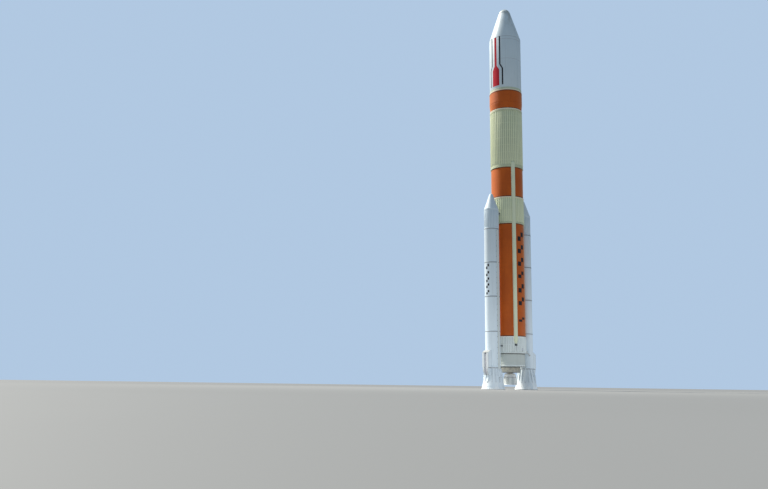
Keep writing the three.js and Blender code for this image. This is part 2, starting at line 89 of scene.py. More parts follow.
def eased(line, radius, closed=False, least=20):
    """The line of 2-D points with each corner of more than some degrees rounded off."""
    line = [np.array(p, float) for p in line]
    count, out = len(line), []
    for i, point in enumerate(line):
        if not closed and i in (0, count - 1):
            out.append(point)
            continue
        before, after = line[i - 1] - point, line[(i + 1) % count] - point
        lengths = np.hypot(*before), np.hypot(*after)
        if min(lengths) < 1e-9:
            continue
        cosine = np.clip(before @ after / (lengths[0] * lengths[1]), -1, 1)
        if math.pi - math.acos(cosine) < math.radians(least):
            out.append(point)
            continue
        cut = min(radius, 0.45 * min(lengths))
        a, b = point + before / lengths[0] * cut, point + after / lengths[1] * cut
        out += [a, 0.25 * a + 0.5 * point + 0.25 * b, b]
    return out


def turned(profile, sides, ease=0.0, waves=None):
    """A profile of (radius, height) turned about the axis. waves(radians, height) scales its radius."""
    closed = profile[0][0] > 0
    if ease:
        profile = eased(profile, ease, closed)
    angles = np.arange(sides) * TAU / sides
    points, starts = [], []
    for r, z in profile:
        starts.append((len(points), r > 0))
        if r > 0:
            points += [at(r * (waves(a, z) if waves else 1.0), a, z) for a in angles]
        else:
            points.append((0.0, 0.0, z))
    faces = []
    for (a, a_ring), (b, b_ring) in zip(starts, starts[1:] + (starts[:1] if closed else [])):
        for i in range(sides):
            j = (i + 1) % sides
            if a_ring and b_ring:
                faces.append((a + i, a + j, b + j, b + i))
            elif a_ring:
                faces.append((a + i, a + j, b))
            elif b_ring:
                faces.append((a, b + j, b + i))
    return points, faces


def hoop(inner, outer, low, high, sides=CORE_SIDES, ease=0.0):
    """A ring with a rectangular section."""
    return turned([(inner, low), (outer, low), (outer, high), (inner, high)], sides, ease)


def drum(r, low, high, sides=CORE_SIDES, ease=1.0):
    return hoop(0, r, low, high, sides, ease)


def band(r, low, high, out, depth=6.0, sides=CORE_SIDES, ease=0.8):
    """A ring that stands out of a skin of radius r."""
    return hoop(r - depth, r + out, low, high, sides, ease)


def cone_band(radius_at, low, high, out, depth=3.0, sides=CORE_SIDES):
    """A thin ring that follows a skin whose radius changes with the height."""
    line = [(radius_at(z) + out, z) for z in np.linspace(low, high, 4)]
    line += [(radius_at(z) - depth, z) for z in (high, low)]
    return turned(line, sides)


def loft(rings):
    """Closed rings of 3-D points, joined one to the next, with flat ends. Their counts should be equal."""
    count = len(rings[0])
    points = [tuple(p) for ring in rings for p in ring]
    last = (len(rings) - 1) * count
    faces = []
    for a in range(0, last, count):
        for k in range(count):
            n = (k + 1) % count
            faces.append((a + k, a + n, a + count + n, a + count + k))
    faces.append(tuple(reversed(range(count))))
    faces.append(tuple(range(last, last + count)))
    return points, faces


# A rib's section: where along its half width, and how far up. The low one has a wide rounded back.
HAT = [(-1.0, -0.12), (-0.74, 0.62), (-0.52, 1.0), (0.52, 1.0), (0.74, 0.62), (1.0, -0.12)]
ROUND = [(-1.0, -0.3), (-0.94, 0.3), (-0.7, 0.72), (-0.36, 0.95), (0, 1.0)]
ROUND += [(0.36, 0.95), (0.7, 0.72), (0.94, 0.3), (1.0, -0.3)]
BOLT = [(1.0, -0.3), (1.0, 0.45), (0.8, 0.85), (0.4, 1.0)]  # share of a bolt head's radius and height


def ribs(count, levels, first=0.0, section=HAT):
    """Upright ribs round the axis. levels holds (height, foot radius, how far out, half width)."""
    shells = []
    for i in range(count):
        a = math.radians(first) + i * TAU / count
        rings = []
        for z, foot, out, half in levels:
            rings.append([at(foot + up * out, a, z, across * half) for across, up in section])
        shells.append(loft(rings))
    return shells


def stringers(count, r, out, half, low, high):
    """Ribs of one height whose ends slope down to the skin."""
    end, slope = (r, 0.12 * out, 0.8 * half), 2.2 * out
    middle = [(low + slope, r, out, half), (high - slope, r, out, half)]
    return ribs(count, [(low, *end), *middle, (high, *end)])


def circle(centre, side, other, r, sides):
    """Points round a centre, in the plane of two directions."""
    turns = [k * TAU / sides for k in range(sides)]
    return [centre + (side * math.cos(a) + other * math.sin(a)) * r for a in turns]


def bolts(places, r, h, sides=6):
    """Low round-topped bolt heads. places holds (point, outward direction)."""
    shells = []
    for point, normal in places:
        normal = Vector(normal).normalized()
        side = normal.orthogonal().normalized()
        other = normal.cross(side)
        heights = [(Vector(point) + normal * (up * h), share * r) for share, up in BOLT]
        shells.append(loft([circle(centre, side, other, wide, sides) for centre, wide in heights]))
    return shells


def around(count, r, z, first=0.0):
    """Points on a level circle, each with its outward direction."""
    angles = [math.radians(first) + i * TAU / count for i in range(count)]
    return [(at(r, a, z), at(1.0, a)) for a in angles]


def bolt_circle(count, ring_r, z, r, h, first=0.0, facing=None):
    """Bolt heads on a level circle, which face outwards or where they are told to."""
    return bolts([(point, facing or out) for point, out in around(count, ring_r, z, first)], r, h)


def finer(levels, step=9.0):
    """The levels of a ribbon with more between them, so that it follows a sloping or uneven skin."""
    out = [levels[0]]
    for a, b in zip(levels, levels[1:]):
        count = max(1, math.ceil(abs(b[0] - a[0]) / step))
        for k in range(1, count + 1):
            out.append(tuple(p + (q - p) * k / count for p, q in zip(a, b)))
    return out


def ribbon(levels, radius, centre, lift, sink=0.4, columns=8):
    """A sheet wrapped on a round body, whose radius is a number or a function of the height.

    levels holds (height, left, right), as angles from the centre.
    """
    levels = finer(levels)
    outer, inner = [], []
    for z, left, right in levels:
        r = radius(z) if callable(radius) else radius
        for k in range(columns + 1):
            a = math.radians(centre + left + (right - left) * k / columns)
            outer.append(at(r + lift, a, z))
            inner.append(at(r - sink, a, z))
    wide, rows, base = columns + 1, len(levels), len(outer)
    faces = []
    for i in range(rows - 1):
        for k in range(columns):
            a = i * wide + k
            b = base + a
            faces.append((a, a + 1, a + wide + 1, a + wide))
            faces.append((b, b + wide, b + wide + 1, b + 1))
    last = (rows - 1) * wide
    edge = list(range(wide)) + [i * wide + columns for i in range(1, rows)]
    edge += [last + k for k in range(columns - 1, -1, -1)] + [i * wide for i in range(rows - 2, 0, -1)]
    for a, b in zip(edge, edge[1:] + edge[:1]):
        faces.append((a, base + a, base + b, b))
    return outer + inner, faces


def plate(centre, low, high, half_width, r, out, corner=4.0, sink=2.0):
    """A flat cover with round corners on a round body, half_width in millimetres of arc."""
    levels = []
    for t in np.linspace(0, math.pi / 2, 5):
        levels.append((low + corner * (1 - math.cos(t)), half_width - corner * (1 - math.sin(t))))
    levels += [(low + high - z, w) for z, w in reversed(levels)]
    levels = [(z, -math.degrees(w / r), math.degrees(w / r)) for z, w in levels]
    return ribbon(levels, r, centre, out, sink, 6)


def tube(path, r, sides=12):
    """A round bar along a line of points."""
    path = [Vector(p) for p in path]
    rings, side = [], None
    for i, point in enumerate(path):
        ahead = (path[min(i + 1, len(path) - 1)] - path[max(i - 1, 0)]).normalized()
        side = ahead.orthogonal() if side is None else side - ahead * side.dot(ahead)
        side.normalize()
        rings.append(circle(point, side, ahead.cross(side), r, sides))
    return loft(rings)


def bar(a, b, r, sides):
    """A straight round bar with a ring close to each end."""
    return tube([a, a.lerp(b, 0.02), a.lerp(b, 0.98), b], r, sides)


def slab(outline, half_width, ease=2.0, corner=3.0):
    """A plate in the plane of X and Z with eased edges, half_width to each side along Y."""
    outline = eased(outline, corner, True, 12)
    middle = np.mean(outline, axis=0)
    smaller = []
    for i, p in enumerate(outline):
        before, after = outline[i - 1], outline[(i + 1) % len(outline)]
        along = (after - before) / np.hypot(*(after - before))
        normal = np.array([along[1], -along[0]])
        if normal @ (p - middle) < 0:
            normal = -normal
        smaller.append(p - normal * ease)
    lines = [(-half_width, smaller), (ease - half_width, outline)]
    lines += [(half_width - ease, outline), (half_width, smaller)]
    return loft([[(p[0], y, p[1]) for p in line] for y, line in lines])


def block(low, high, ease=1.0):
    """A box between two corners with eased edges."""
    (x0, y0, z0), (x1, y1, z1) = low, high
    made = slab([(x0, z0), (x1, z0), (x1, z1), (x0, z1)], (y1 - y0) / 2, ease, ease * 1.4)
    return moved([made], (0, (y0 + y1) / 2, 0))[0]


def moved(shells, shift=(0, 0, 0), turn=0.0):
    """The shells turned about Z and then shifted."""
    matrix = Matrix.Translation(shift) @ Matrix.Rotation(math.radians(turn), 4, "Z")
    return [([tuple(matrix @ Vector(p)) for p in points], faces) for points, faces in shells]


def in_scene(name, data):
    """A new object of the data, put in the scene."""
    obj = bpy.data.objects.new(name, data)
    bpy.context.scene.collection.objects.link(obj)
    return obj


def piece(name, parts, body="rocket", replaces=(), sharp=32):
    """One object of the rocket. parts holds (shells in millimetres, material)."""
    points, faces, materials, offset = [], [], [], 0
    for number, (shells, _) in enumerate(parts):
        for shell_points, shell_faces in shells:
            points.append(np.array([tuple(p) for p in shell_points], float) * MM)
            faces.extend(tuple(i + offset for i in face) for face in shell_faces)
            materials.extend([number] * len(shell_faces))
            offset += len(shell_points)
    mesh = bpy.data.meshes.new(name)
    mesh.from_pydata(np.concatenate(points).tolist(), [], faces)
    mesh.polygons.foreach_set("material_index", materials)
    work = bmesh.new()
    work.from_mesh(mesh)
    bmesh.ops.recalc_face_normals(work, faces=work.faces)
    work.to_mesh(mesh)
    work.free()
    for _, look in parts:
        mesh.materials.append(look)
    mesh.shade_smooth()
    mesh.set_sharp_from_angle(angle=math.radians(sharp))
    obj = in_scene(name, mesh)
    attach(obj, body)
    if replaces:
        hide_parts(*replaces)
    return obj


# Materials, all made of nodes in the object's own coordinates


class Look:
    """A principled material with a few helpers for its texture nodes."""

    def __init__(self, name, roughness, metallic=0.0, specular=0.5):
        self.material = bpy.data.materials.new(name)
        self.material.use_nodes = True
        self.tree = self.material.node_tree
        self.shader = self.tree.nodes["Principled BSDF"]
        numbers = {"Roughness": roughness, "Metallic": metallic, "Specular IOR Level": specular}
        for socket, value in numbers.items():
            self.shader.inputs[socket].default_value = value
        self.where = self.node("TexCoord").outputs["Object"]

    def plug(self, value, socket):
        """Joins a node's output to the socket, or sets the socket to a number, vector or colour."""
        if isinstance(value, bpy.types.NodeSocket):
            self.tree.links.new(value, socket)
        elif socket.type == "RGBA":
            socket.default_value = (*value, 1.0)
        else:
            socket.default_value = value

    def node(self, kind, inputs=(), **settings):
        node = self.tree.nodes.new("ShaderNode" + kind)
        for name, value in settings.items():
            setattr(node, name, value)
        for name, value in dict(inputs).items():
            self.plug(value, node.inputs[name])
        return node

    def noise(self, scale, stretch=(1, 1, 1), detail=4.0, roughness=0.55, warp=0.0):
        mapping = self.node("Mapping", {"Scale": stretch, "Vector": self.where})
        numbers = {"Scale": scale, "Detail": detail, "Roughness": roughness, "Distortion": warp}
        return self.node("TexNoise", {"Vector": mapping.outputs["Vector"], **numbers}).outputs["Fac"]

    def between(self, value, low, high, to_low=0.0, to_high=1.0):
        inputs = {"Value": value, "From Min": low, "From Max": high, "To Min": to_low, "To Max": to_high}
        return self.node("MapRange", inputs, interpolation_type="SMOOTHSTEP").outputs["Result"]

    def times(self, a, b):
        return self.node("Math", {0: a, 1: b}, operation="MULTIPLY").outputs[0]

    def height(self):
        return self.node("SeparateXYZ", {0: self.where}).outputs["Z"]

    def mix(self, share, a, b):
        return self.node("Mix", {0: share, 6: a, 7: b}, data_type="RGBA").outputs[2]

    def colour(self, value):
        self.plug(value, self.shader.inputs["Base Color"])

    def roughness(self, value):
        self.plug(value, self.shader.inputs["Roughness"])

    def bump(self, value, strength, distance):
        normal = self.shader.inputs["Normal"]
        inputs = {"Strength": strength, "Distance": distance, "Height": value}
        if normal.links:
            inputs["Normal"] = normal.links[0].from_socket
        self.plug(self.node("Bump", inputs).outputs["Normal"], normal)


RAIN = (46.0, 46.0, 1.3)  # stretches noise into upright streaks


def shade(colour, share):
    return tuple(share * c for c in colour)


def painted(name, base, dirt_and_light, roughness, streaks, specular, paler_low_light=1.0, grime_and_light=None):
    """Weathered satin paint: soft patches, rain streaks and, if it is told to, painted light that pales it
    lower down, and grime.

    grime_and_light holds the height where it is thickest, the height where it ends, in metres, and its
    strength. With a dark colour it paints grime; with a pale one it paints light.
    """
    look = Look(name, roughness, specular=specular)
    tone = look.mix(look.between(look.noise(2.6, detail=5.0), 0.35, 0.7), base, shade(base, 0.93))
    # paler lower down: painted light thrown up from the floor
    if paler_low_light != 1.0:
        low_light_share = look.between(look.height(), 0.1, 2.6, 1.0, 0.0)
        tone = look.mix(low_light_share, tone, shade(base, paler_low_light))
    runs = look.noise(1.0, RAIN, 5.0, 0.6)
    tone = look.mix(look.between(runs, 0.52, 0.74, 0.0, 0.32 * streaks), tone, dirt_and_light)
    # with a dark colour this is grime; with a pale one, painted light
    if grime_and_light:
        thick, ends, strength = grime_and_light
        low_share, high_share = (0.0, 1.0) if ends < thick else (1.0, 0.0)
        near = look.between(look.height(), *sorted((thick, ends)), low_share, high_share)
        spots = look.between(look.noise(17.0, (1, 1, 0.5), 6.0, 0.65), 0.4, 0.62)
        tone = look.mix(look.times(look.times(near, spots), strength), tone, dirt_and_light)
    look.colour(tone)
    look.roughness(look.between(look.noise(9.0), 0.3, 0.7, roughness - 0.07, roughness + 0.1))
    look.bump(look.noise(240.0, detail=2.0), 0.12, 0.0004)
    look.bump(look.noise(14.0, detail=3.0), 0.18, 0.0012)
    return look.material


def foam(name, light, deep):
    """Sprayed foam: blotches, faint spray bands round the tank, upright runs and an orange-peel grain."""
    look = Look(name, 0.62, specular=0.32)
    look.shader.inputs["Sheen Weight"].default_value = 0.6
    look.shader.inputs["Sheen Roughness"].default_value = 0.35
    look.shader.inputs["Sheen Tint"].default_value = (1.0, 0.84, 0.50, 1.0)
    tone = look.mix(look.between(look.noise(4.2, (1, 1, 0.6), 6.0, 0.6), 0.34, 0.68), light, deep)
    bands = look.noise(1.0, (0.6, 0.6, 34.0), 3.0)
    tone = look.mix(look.between(bands, 0.42, 0.7, 0.0, 0.28), tone, deep)
    runs = look.noise(1.0, (38.0, 38.0, 1.1))
    tone = look.mix(look.between(runs, 0.5, 0.75, 0.0, 0.3), tone, shade(deep, 0.72))
    look.colour(tone)
    look.bump(look.noise(170.0, detail=3.0, roughness=0.6), 0.5, 0.0009)
    look.bump(look.noise(30.0, detail=3.0), 0.3, 0.0015)
    return look.material


def metal(name, base, tint, roughness, metallic, brush=(1, 1, 60), lit_top=None):
    """Machined or tubed metal with fine brushing and heat-tinted patches.

    lit_top holds a pale colour of painted light and the heights, in metres, between which it comes in
    upwards.
    """
    look = Look(name, roughness, metallic)
    tone = look.mix(look.between(look.noise(11.0, detail=5.0, warp=0.6), 0.38, 0.7), base, tint)
    if lit_top:
        colour, low, high = lit_top
        tone = look.mix(look.between(look.height(), low, high, 0.0, 0.85), tone, colour)
    look.colour(tone)
    brushed = look.noise(6.0, brush)
    look.roughness(look.between(brushed, 0.25, 0.75, roughness - 0.1, roughness + 0.14))
    look.bump(brushed, 0.1, 0.0004)
    return look.material


def blanket(name, light, deep):
    """Quilted insulation: mottled beige and grey with a woven grain."""
    look = Look(name, 0.75, specular=0.25)
    tone = look.mix(look.between(look.noise(38.0, detail=5.0, roughness=0.6), 0.36, 0.64), light, deep)
    stains = look.noise(9.0, (1, 1, 0.4), 5.0)
    tone = look.mix(look.between(stains, 0.5, 0.7, 0.0, 0.55), tone, shade(deep, 0.6))
    look.colour(tone)
    look.bump(look.noise(420.0, detail=2.0), 0.4, 0.0005)
    return look.material


FAIRING_GRIME, NOSE_GRIME = (5.0, 4.62, 0.7), (5.0, 4.88, 1.0)
BOOSTER_DIRT, BOOSTER_GRIME = (0.36, 0.36, 0.34), (0.0, 0.30, 0.4)
# the skirt's pale dirt colour gives its pale streaks and, at its foot, painted light that grows towards the
# bottom
SKIRT_DUST_AND_FOOT_LIGHT, SKIRT_FOOT_LIGHT = (0.96, 0.97, 0.96), (0.0, 0.13, 1.0)

# Paints: colour, colour of the dirt, roughness, strength of the streaks, specular level
FAIRING_WHITE = painted(
    "fairing_white", (0.64, 0.735, 0.79), (0.30, 0.30, 0.26), 0.45, 0.5, 0.4, grime_and_light=FAIRING_GRIME
)
NOSE_WHITE = painted("nose_white", (0.64, 0.71, 0.73), (0.26, 0.25, 0.18), 0.5, 1.6, 0.4, grime_and_light=NOSE_GRIME)
# the booster's paint pales lower down: painted light thrown up from the floor
BOOSTER_WHITE = painted(
    "booster_white", (0.62, 0.70, 0.755), BOOSTER_DIRT, 0.5, 0.6, 0.25, 1.22, BOOSTER_GRIME
)
# darker copy of the forward skirt's white for the skin between its ribs: painted shade
FORWARD_SKIN_SHADE = painted("forward_skin_shade", (0.56, 0.66, 0.73), (0.28, 0.30, 0.32), 0.5, 0.6, 0.4)
FORWARD_WHITE = painted("forward_white", (0.71, 0.80, 0.86), (0.40, 0.41, 0.40), 0.5, 0.6, 0.25)
# paler than the skirt: painted light along the flange's sunlit edge
FLANGE_LIT_WHITE = painted("flange_lit_white", (0.93, 0.94, 0.92), (0.55, 0.54, 0.50), 0.5, 0.5, 0.25)
POD_WHITE = painted("pod_white", (0.58, 0.62, 0.64), (0.34, 0.34, 0.32), 0.5, 0.6, 0.25)
POD_TOP = painted("pod_top", (0.42, 0.43, 0.42), (0.26, 0.26, 0.24), 0.6, 0.6, 0.2)
RACEWAY = painted("raceway_paint", (0.68, 0.73, 0.71), (0.38, 0.39, 0.36), 0.5, 0.6, 0.25)
SKIRT_WHITE = painted("skirt_white", (0.74, 0.82, 0.87), SKIRT_DUST_AND_FOOT_LIGHT, 0.5, 0.4, 0.25, grime_and_light=SKIRT_FOOT_LIGHT)
# darker skin and paler ribs of one paint: painted shade between the ribs
AFT_SKIN_SHADE = painted("aft_skin_shade", (0.62, 0.67, 0.65), (0.34, 0.34, 0.30), 0.55, 1.2, 0.25)
AFT_RIB = painted("aft_rib", (0.84, 0.89, 0.88), (0.54, 0.54, 0.50), 0.5, 0.9, 0.25)
CREAM = painted("cream_paint", (0.83, 0.86, 0.62), (0.52, 0.52, 0.30), 0.65, 0.7, 0.2)
# darker copy of the cream for the skin between ribs: painted shade
CREAM_SKIN_SHADE = painted("cream_skin_shade", (0.57, 0.61, 0.42), (0.33, 0.34, 0.19), 0.7, 0.9, 0.2)
CREAM_FOOT = painted("cream_foot", (0.58, 0.62, 0.43), (0.38, 0.40, 0.26), 0.65, 0.9, 0.2)
CREAM_SMOOTH = painted("cream_smooth", (0.68, 0.72, 0.51), (0.42, 0.44, 0.27), 0.65, 0.7, 0.2)
DUCT_CREAM = painted("duct_cream", (0.78, 0.82, 0.60), (0.48, 0.49, 0.34), 0.6, 0.6, 0.2)
CREAM_DEEP = painted("cream_deep", (0.57, 0.64, 0.49), (0.30, 0.35, 0.27), 0.65, 0.9, 0.2)
CREAM_PALE = painted("cream_pale", (0.88, 0.79, 0.62), (0.54, 0.51, 0.35), 0.6, 0.7, 0.2)
GREY = painted("grey_paint", (0.58, 0.62, 0.585), (0.36, 0.36, 0.32), 0.6, 0.8, 0.3)
GREY_LIGHT = painted("grey_light", (0.82, 0.86, 0.84), (0.52, 0.52, 0.48), 0.55, 0.7, 0.3)
# near-black grey used only as painted shade in gaps and recesses
GREY_SHADE = painted("grey_shade", (0.22, 0.235, 0.225), (0.12, 0.12, 0.11), 0.65, 0.8, 0.2)
RED = painted("red_stripe", (0.50, 0.013, 0.03), (0.26, 0.016, 0.024), 0.6, 0.4, 0.08)
BLACK = painted("black_marking", (0.02, 0.018, 0.022), (0.06, 0.055, 0.055), 0.55, 0.5, 0.2)
# near-black sheet used as painted shade in openings and recesses
DARK_SHADE = painted("recess_shade", (0.045, 0.045, 0.048), (0.11, 0.10, 0.09), 0.7, 0.5, 0.2)
# grey of joints and fittings, also used as painted shadow under rings and edges
JOINT_GREY_AND_SHADE = painted("joint_grey_and_shade", (0.36, 0.39, 0.41), (0.22, 0.22, 0.21), 0.5, 0.6, 0.4)
# grey of fine lines, also used as painted shade beside the skirt's fins
LINE_GREY_AND_SHADE = painted("line_grey_and_shade", (0.42, 0.47, 0.50), (0.25, 0.26, 0.26), 0.5, 0.6, 0.4)
PANEL_GREY = painted("panel_grey", (0.45, 0.45, 0.49), (0.28, 0.28, 0.29), 0.5, 0.7, 0.4)
HATCH_GREY = painted("hatch_grey", (0.56, 0.60, 0.62), (0.34, 0.35, 0.35), 0.5, 0.7, 0.4)
CARBON = painted("carbon_nozzle", (0.10, 0.10, 0.105), (0.17, 0.16, 0.15), 0.55, 0.7, 0.4)
RUBBER = painted("bearing_rubber", (0.028, 0.028, 0.03), (0.08, 0.075, 0.07), 0.75, 0.6, 0.4)

BLANKET = blanket("heat_blanket", (0.60, 0.57, 0.47), (0.42, 0.41, 0.37))
ORANGE = foam("orange_foam", (0.58, 0.112, 0.006), (0.47, 0.084, 0.005))
# near-black foam for the tanks' end rims: painted shade along the joints
FOAM_SHADE_RIM = foam("foam_shade_rim", (0.14, 0.050, 0.020), (0.10, 0.038, 0.016))
STEEL = metal("engine_steel", (0.50, 0.49, 0.46), (0.36, 0.32, 0.27), 0.38, 0.9)
FITTING = metal("fitting_metal", (0.62, 0.65, 0.65), (0.48, 0.49, 0.47), 0.45, 0.25)
# dark metal, also used as painted shade between the fitting brackets' plates
DARK_METAL_AND_SHADE = metal("dark_metal_and_shade", (0.16, 0.16, 0.16), (0.10, 0.10, 0.09), 0.5, 0.5)
# near white towards the bell's top: painted light on its shaded shoulder
BELL_TOP_LIGHT = ((0.92, 0.93, 0.91), 0.140, 0.158)
BELL = metal("bell_alloy", (0.63, 0.655, 0.635), (0.50, 0.51, 0.475), 0.4, 0.2, (60, 60, 1), BELL_TOP_LIGHT)
# grey of the shoulder ring, also used as painted shade above the rim
BELL_RING_AND_SHADE = metal("bell_ring_and_shade", (0.42, 0.43, 0.42), (0.32, 0.32, 0.31), 0.45, 0.2)
RIM = metal("bell_rim", (0.88, 0.90, 0.89), (0.76, 0.77, 0.75), 0.35, 0.1)


# Camera, lights and floor, from the camera that was fitted to the photograph


def camera_from_photo():
    """The photograph's viewpoint: 9.7 m away at floor level, looking up and to the left of the rocket."""
    distance, eye = 9.695, 0.0388
    side, yaw, pitch, roll = (math.radians(a) for a in (49.97, -9.319, 10.342, 0.779))
    spin = Matrix.Rotation(-side, 3, "Z")  # from the picture's own left-right frame to the rocket's
    across = spin @ Vector((math.cos(yaw), -math.sin(yaw), 0))
    level = spin @ Vector((math.sin(yaw), math.cos(yaw), 0))
    ahead = level * math.cos(pitch) + Vector((0, 0, math.sin(pitch)))
    above = -level * math.sin(pitch) + Vector((0, 0, math.cos(pitch)))
    right = across * math.cos(roll) + above * math.sin(roll)
    up = above * math.cos(roll) - across * math.sin(roll)
    data = bpy.data.cameras.new("camera")
    data.sensor_width = 36.0
    data.lens = 36.0  # 768 pixels of focal length on a picture 768 pixels wide
    data.clip_start, data.clip_end = 0.05, 500.0
    camera = in_scene("camera", data)
    place = spin @ Vector((0, -distance, eye))
    camera.matrix_world = Matrix.Translation(place) @ Matrix((right, up, -ahead)).transposed().to_4x4()
    bpy.context.scene.camera = camera
    return spin


SKY_COLOUR, SKY_STRENGTH = (0.56, 0.77, 1.0), 0.40
BACKDROP_COLOUR = (0.44, 0.58, 0.76)
KEY_STRENGTH, KEY_COLOUR, KEY_SOFTNESS = 6.5, (1.0, 0.95, 0.86), 11
KEY_BEHIND, KEY_ELEVATION = 23, 48  # degrees behind the picture's left-right plane, and above the floor
FILL_POWER, FILL_SIZE, FILL_DISTANCE, FILL_HEIGHT = 6.3, 0.6, 1.8, 0.32
# the nearer floor colour is a painted pool of light round the rocket
FLOOR_LIGHT_POOL, FLOOR_FAR = (0.29, 0.293, 0.29), (0.225, 0.228, 0.228)
FLOOR_HALF, DOME_R = 150.0, 140.0


def staged(name, shell, look):
    """Part of the stage, in metres."""
    points, faces = shell
    mesh = bpy.data.meshes.new(name)
    mesh.from_pydata(points, [], faces)
    mesh.materials.append(look.material)
    obj = in_scene(name, mesh)
    return obj


def light_and_floor(spin):
    """A soft key light from the left, as in the photograph, sky light all round and low soft lamps."""
    scene = bpy.context.scene
    world = bpy.data.worlds.new("studio")
    world.use_nodes = True
    background = world.node_tree.nodes["Background"]
    background.inputs["Color"].default_value = (*SKY_COLOUR, 1)
    background.inputs["Strength"].default_value = SKY_STRENGTH
    scene.world = world

    key = bpy.data.lights.new("key", "SUN")
    key.energy, key.angle, key.color = KEY_STRENGTH, math.radians(KEY_SOFTNESS), KEY_COLOUR
    behind, rise = math.radians(KEY_BEHIND), math.radians(KEY_ELEVATION)
    level = Vector((-math.cos(behind), math.sin(behind), 0)) * math.cos(rise)
    towards = spin @ (level + Vector((0, 0, math.sin(rise))))
    in_scene("key", key).rotation_euler = towards.to_track_quat("Z", "Y").to_euler()

    # light that the sunlit ground throws back low down, from four lamps that leave the floor itself unlit
    receivers = bpy.data.collections.new("fill_receivers")
    for number in range(4):
        fill = bpy.data.lights.new(f"fill_{number}", "AREA")
        fill.shape, fill.size, fill.energy = "DISK", FILL_SIZE, FILL_POWER
        lamp = in_scene(f"fill_{number}", fill)
        turn = math.radians(45 + 90 * number)
        lamp.location = at(FILL_DISTANCE, turn, FILL_HEIGHT)
        lamp.rotation_euler = Vector(at(1.0, turn)).to_track_quat("Z", "Y").to_euler()
        lamp.visible_camera = False
        lamp.light_linking.receiver_collection = receivers

    look = Look("pale_floor", 0.7, specular=0.3)
    distance = look.node("VectorMath", {0: look.where}, operation="LENGTH").outputs["Value"]
    # paler near the rocket: a painted pool of light on the floor
    tone = look.mix(look.between(distance, 1.5, 7.0), FLOOR_LIGHT_POOL, FLOOR_FAR)
    patches = look.between(look.noise(0.8), 0.3, 0.7, 0.0, 0.25)
    look.colour(look.mix(patches, tone, shade(FLOOR_FAR, 1.05)))
    signs = ((-1, -1), (1, -1), (1, 1), (-1, 1))
    corners = [(x * FLOOR_HALF, y * FLOOR_HALF, 0) for x, y in signs]
    receivers.objects.link(staged("floor", (corners, [(0, 1, 2, 3)]), look))
    receivers.collection_objects[0].light_linking.link_state = "EXCLUDE"

    # a pale dome behind everything, which gives and takes no light
    look = Look("pale_backdrop", 1.0, specular=0.0)
    look.colour((0.0, 0.0, 0.0))
    look.shader.inputs["Emission Color"].default_value = (*BACKDROP_COLOUR, 1)
    look.shader.inputs["Emission Strength"].default_value = 1.0
    look.material.cycles.emission_sampling = "NONE"
    rows = [(DOME_R * math.cos(t), DOME_R * math.sin(t) - 1) for t in np.radians(np.linspace(0, 90, 13))]
    dome = staged("backdrop", turned([(r if r > 0.1 else 0.0, z) for r, z in rows], 64), look)
    dome.visible_diffuse = dome.visible_glossy = dome.visible_shadow = False
    dome.visible_transmission = dome.visible_volume_scatter = False
    scene.view_settings.view_transform = "Standard"
    scene.cycles.use_denoising = True


light_and_floor(camera_from_photo())


# Payload fairing: two half shells with a seam, a nose cap, stripes and fine lines

_, FAIRING_LOW, CONE_TOP = span("fairing_half_a")
CAP_R, CAP_LOW, TIP = span("nose_cap")
NOSE_R = 78.0
CONE_HALF = math.radians(18)
SHOULDER = CAP_LOW - (FAIRING_R - CAP_R) / math.tan(CONE_HALF)


def fairing_radius(z):
    return FAIRING_R if z <= SHOULDER else FAIRING_R - (z - SHOULDER) * math.tan(CONE_HALF)


def rounded_tip(r, top, half, steps):
    """Profile of a round tip that goes on from a cone's side, half radians from upright."""
    line = []
    for i in range(steps + 1):
        up = half + (math.pi / 2 - half) * i / steps
        line.append((r * math.cos(up) if i < steps else 0.0, top - r + r * math.sin(up)))
    return line


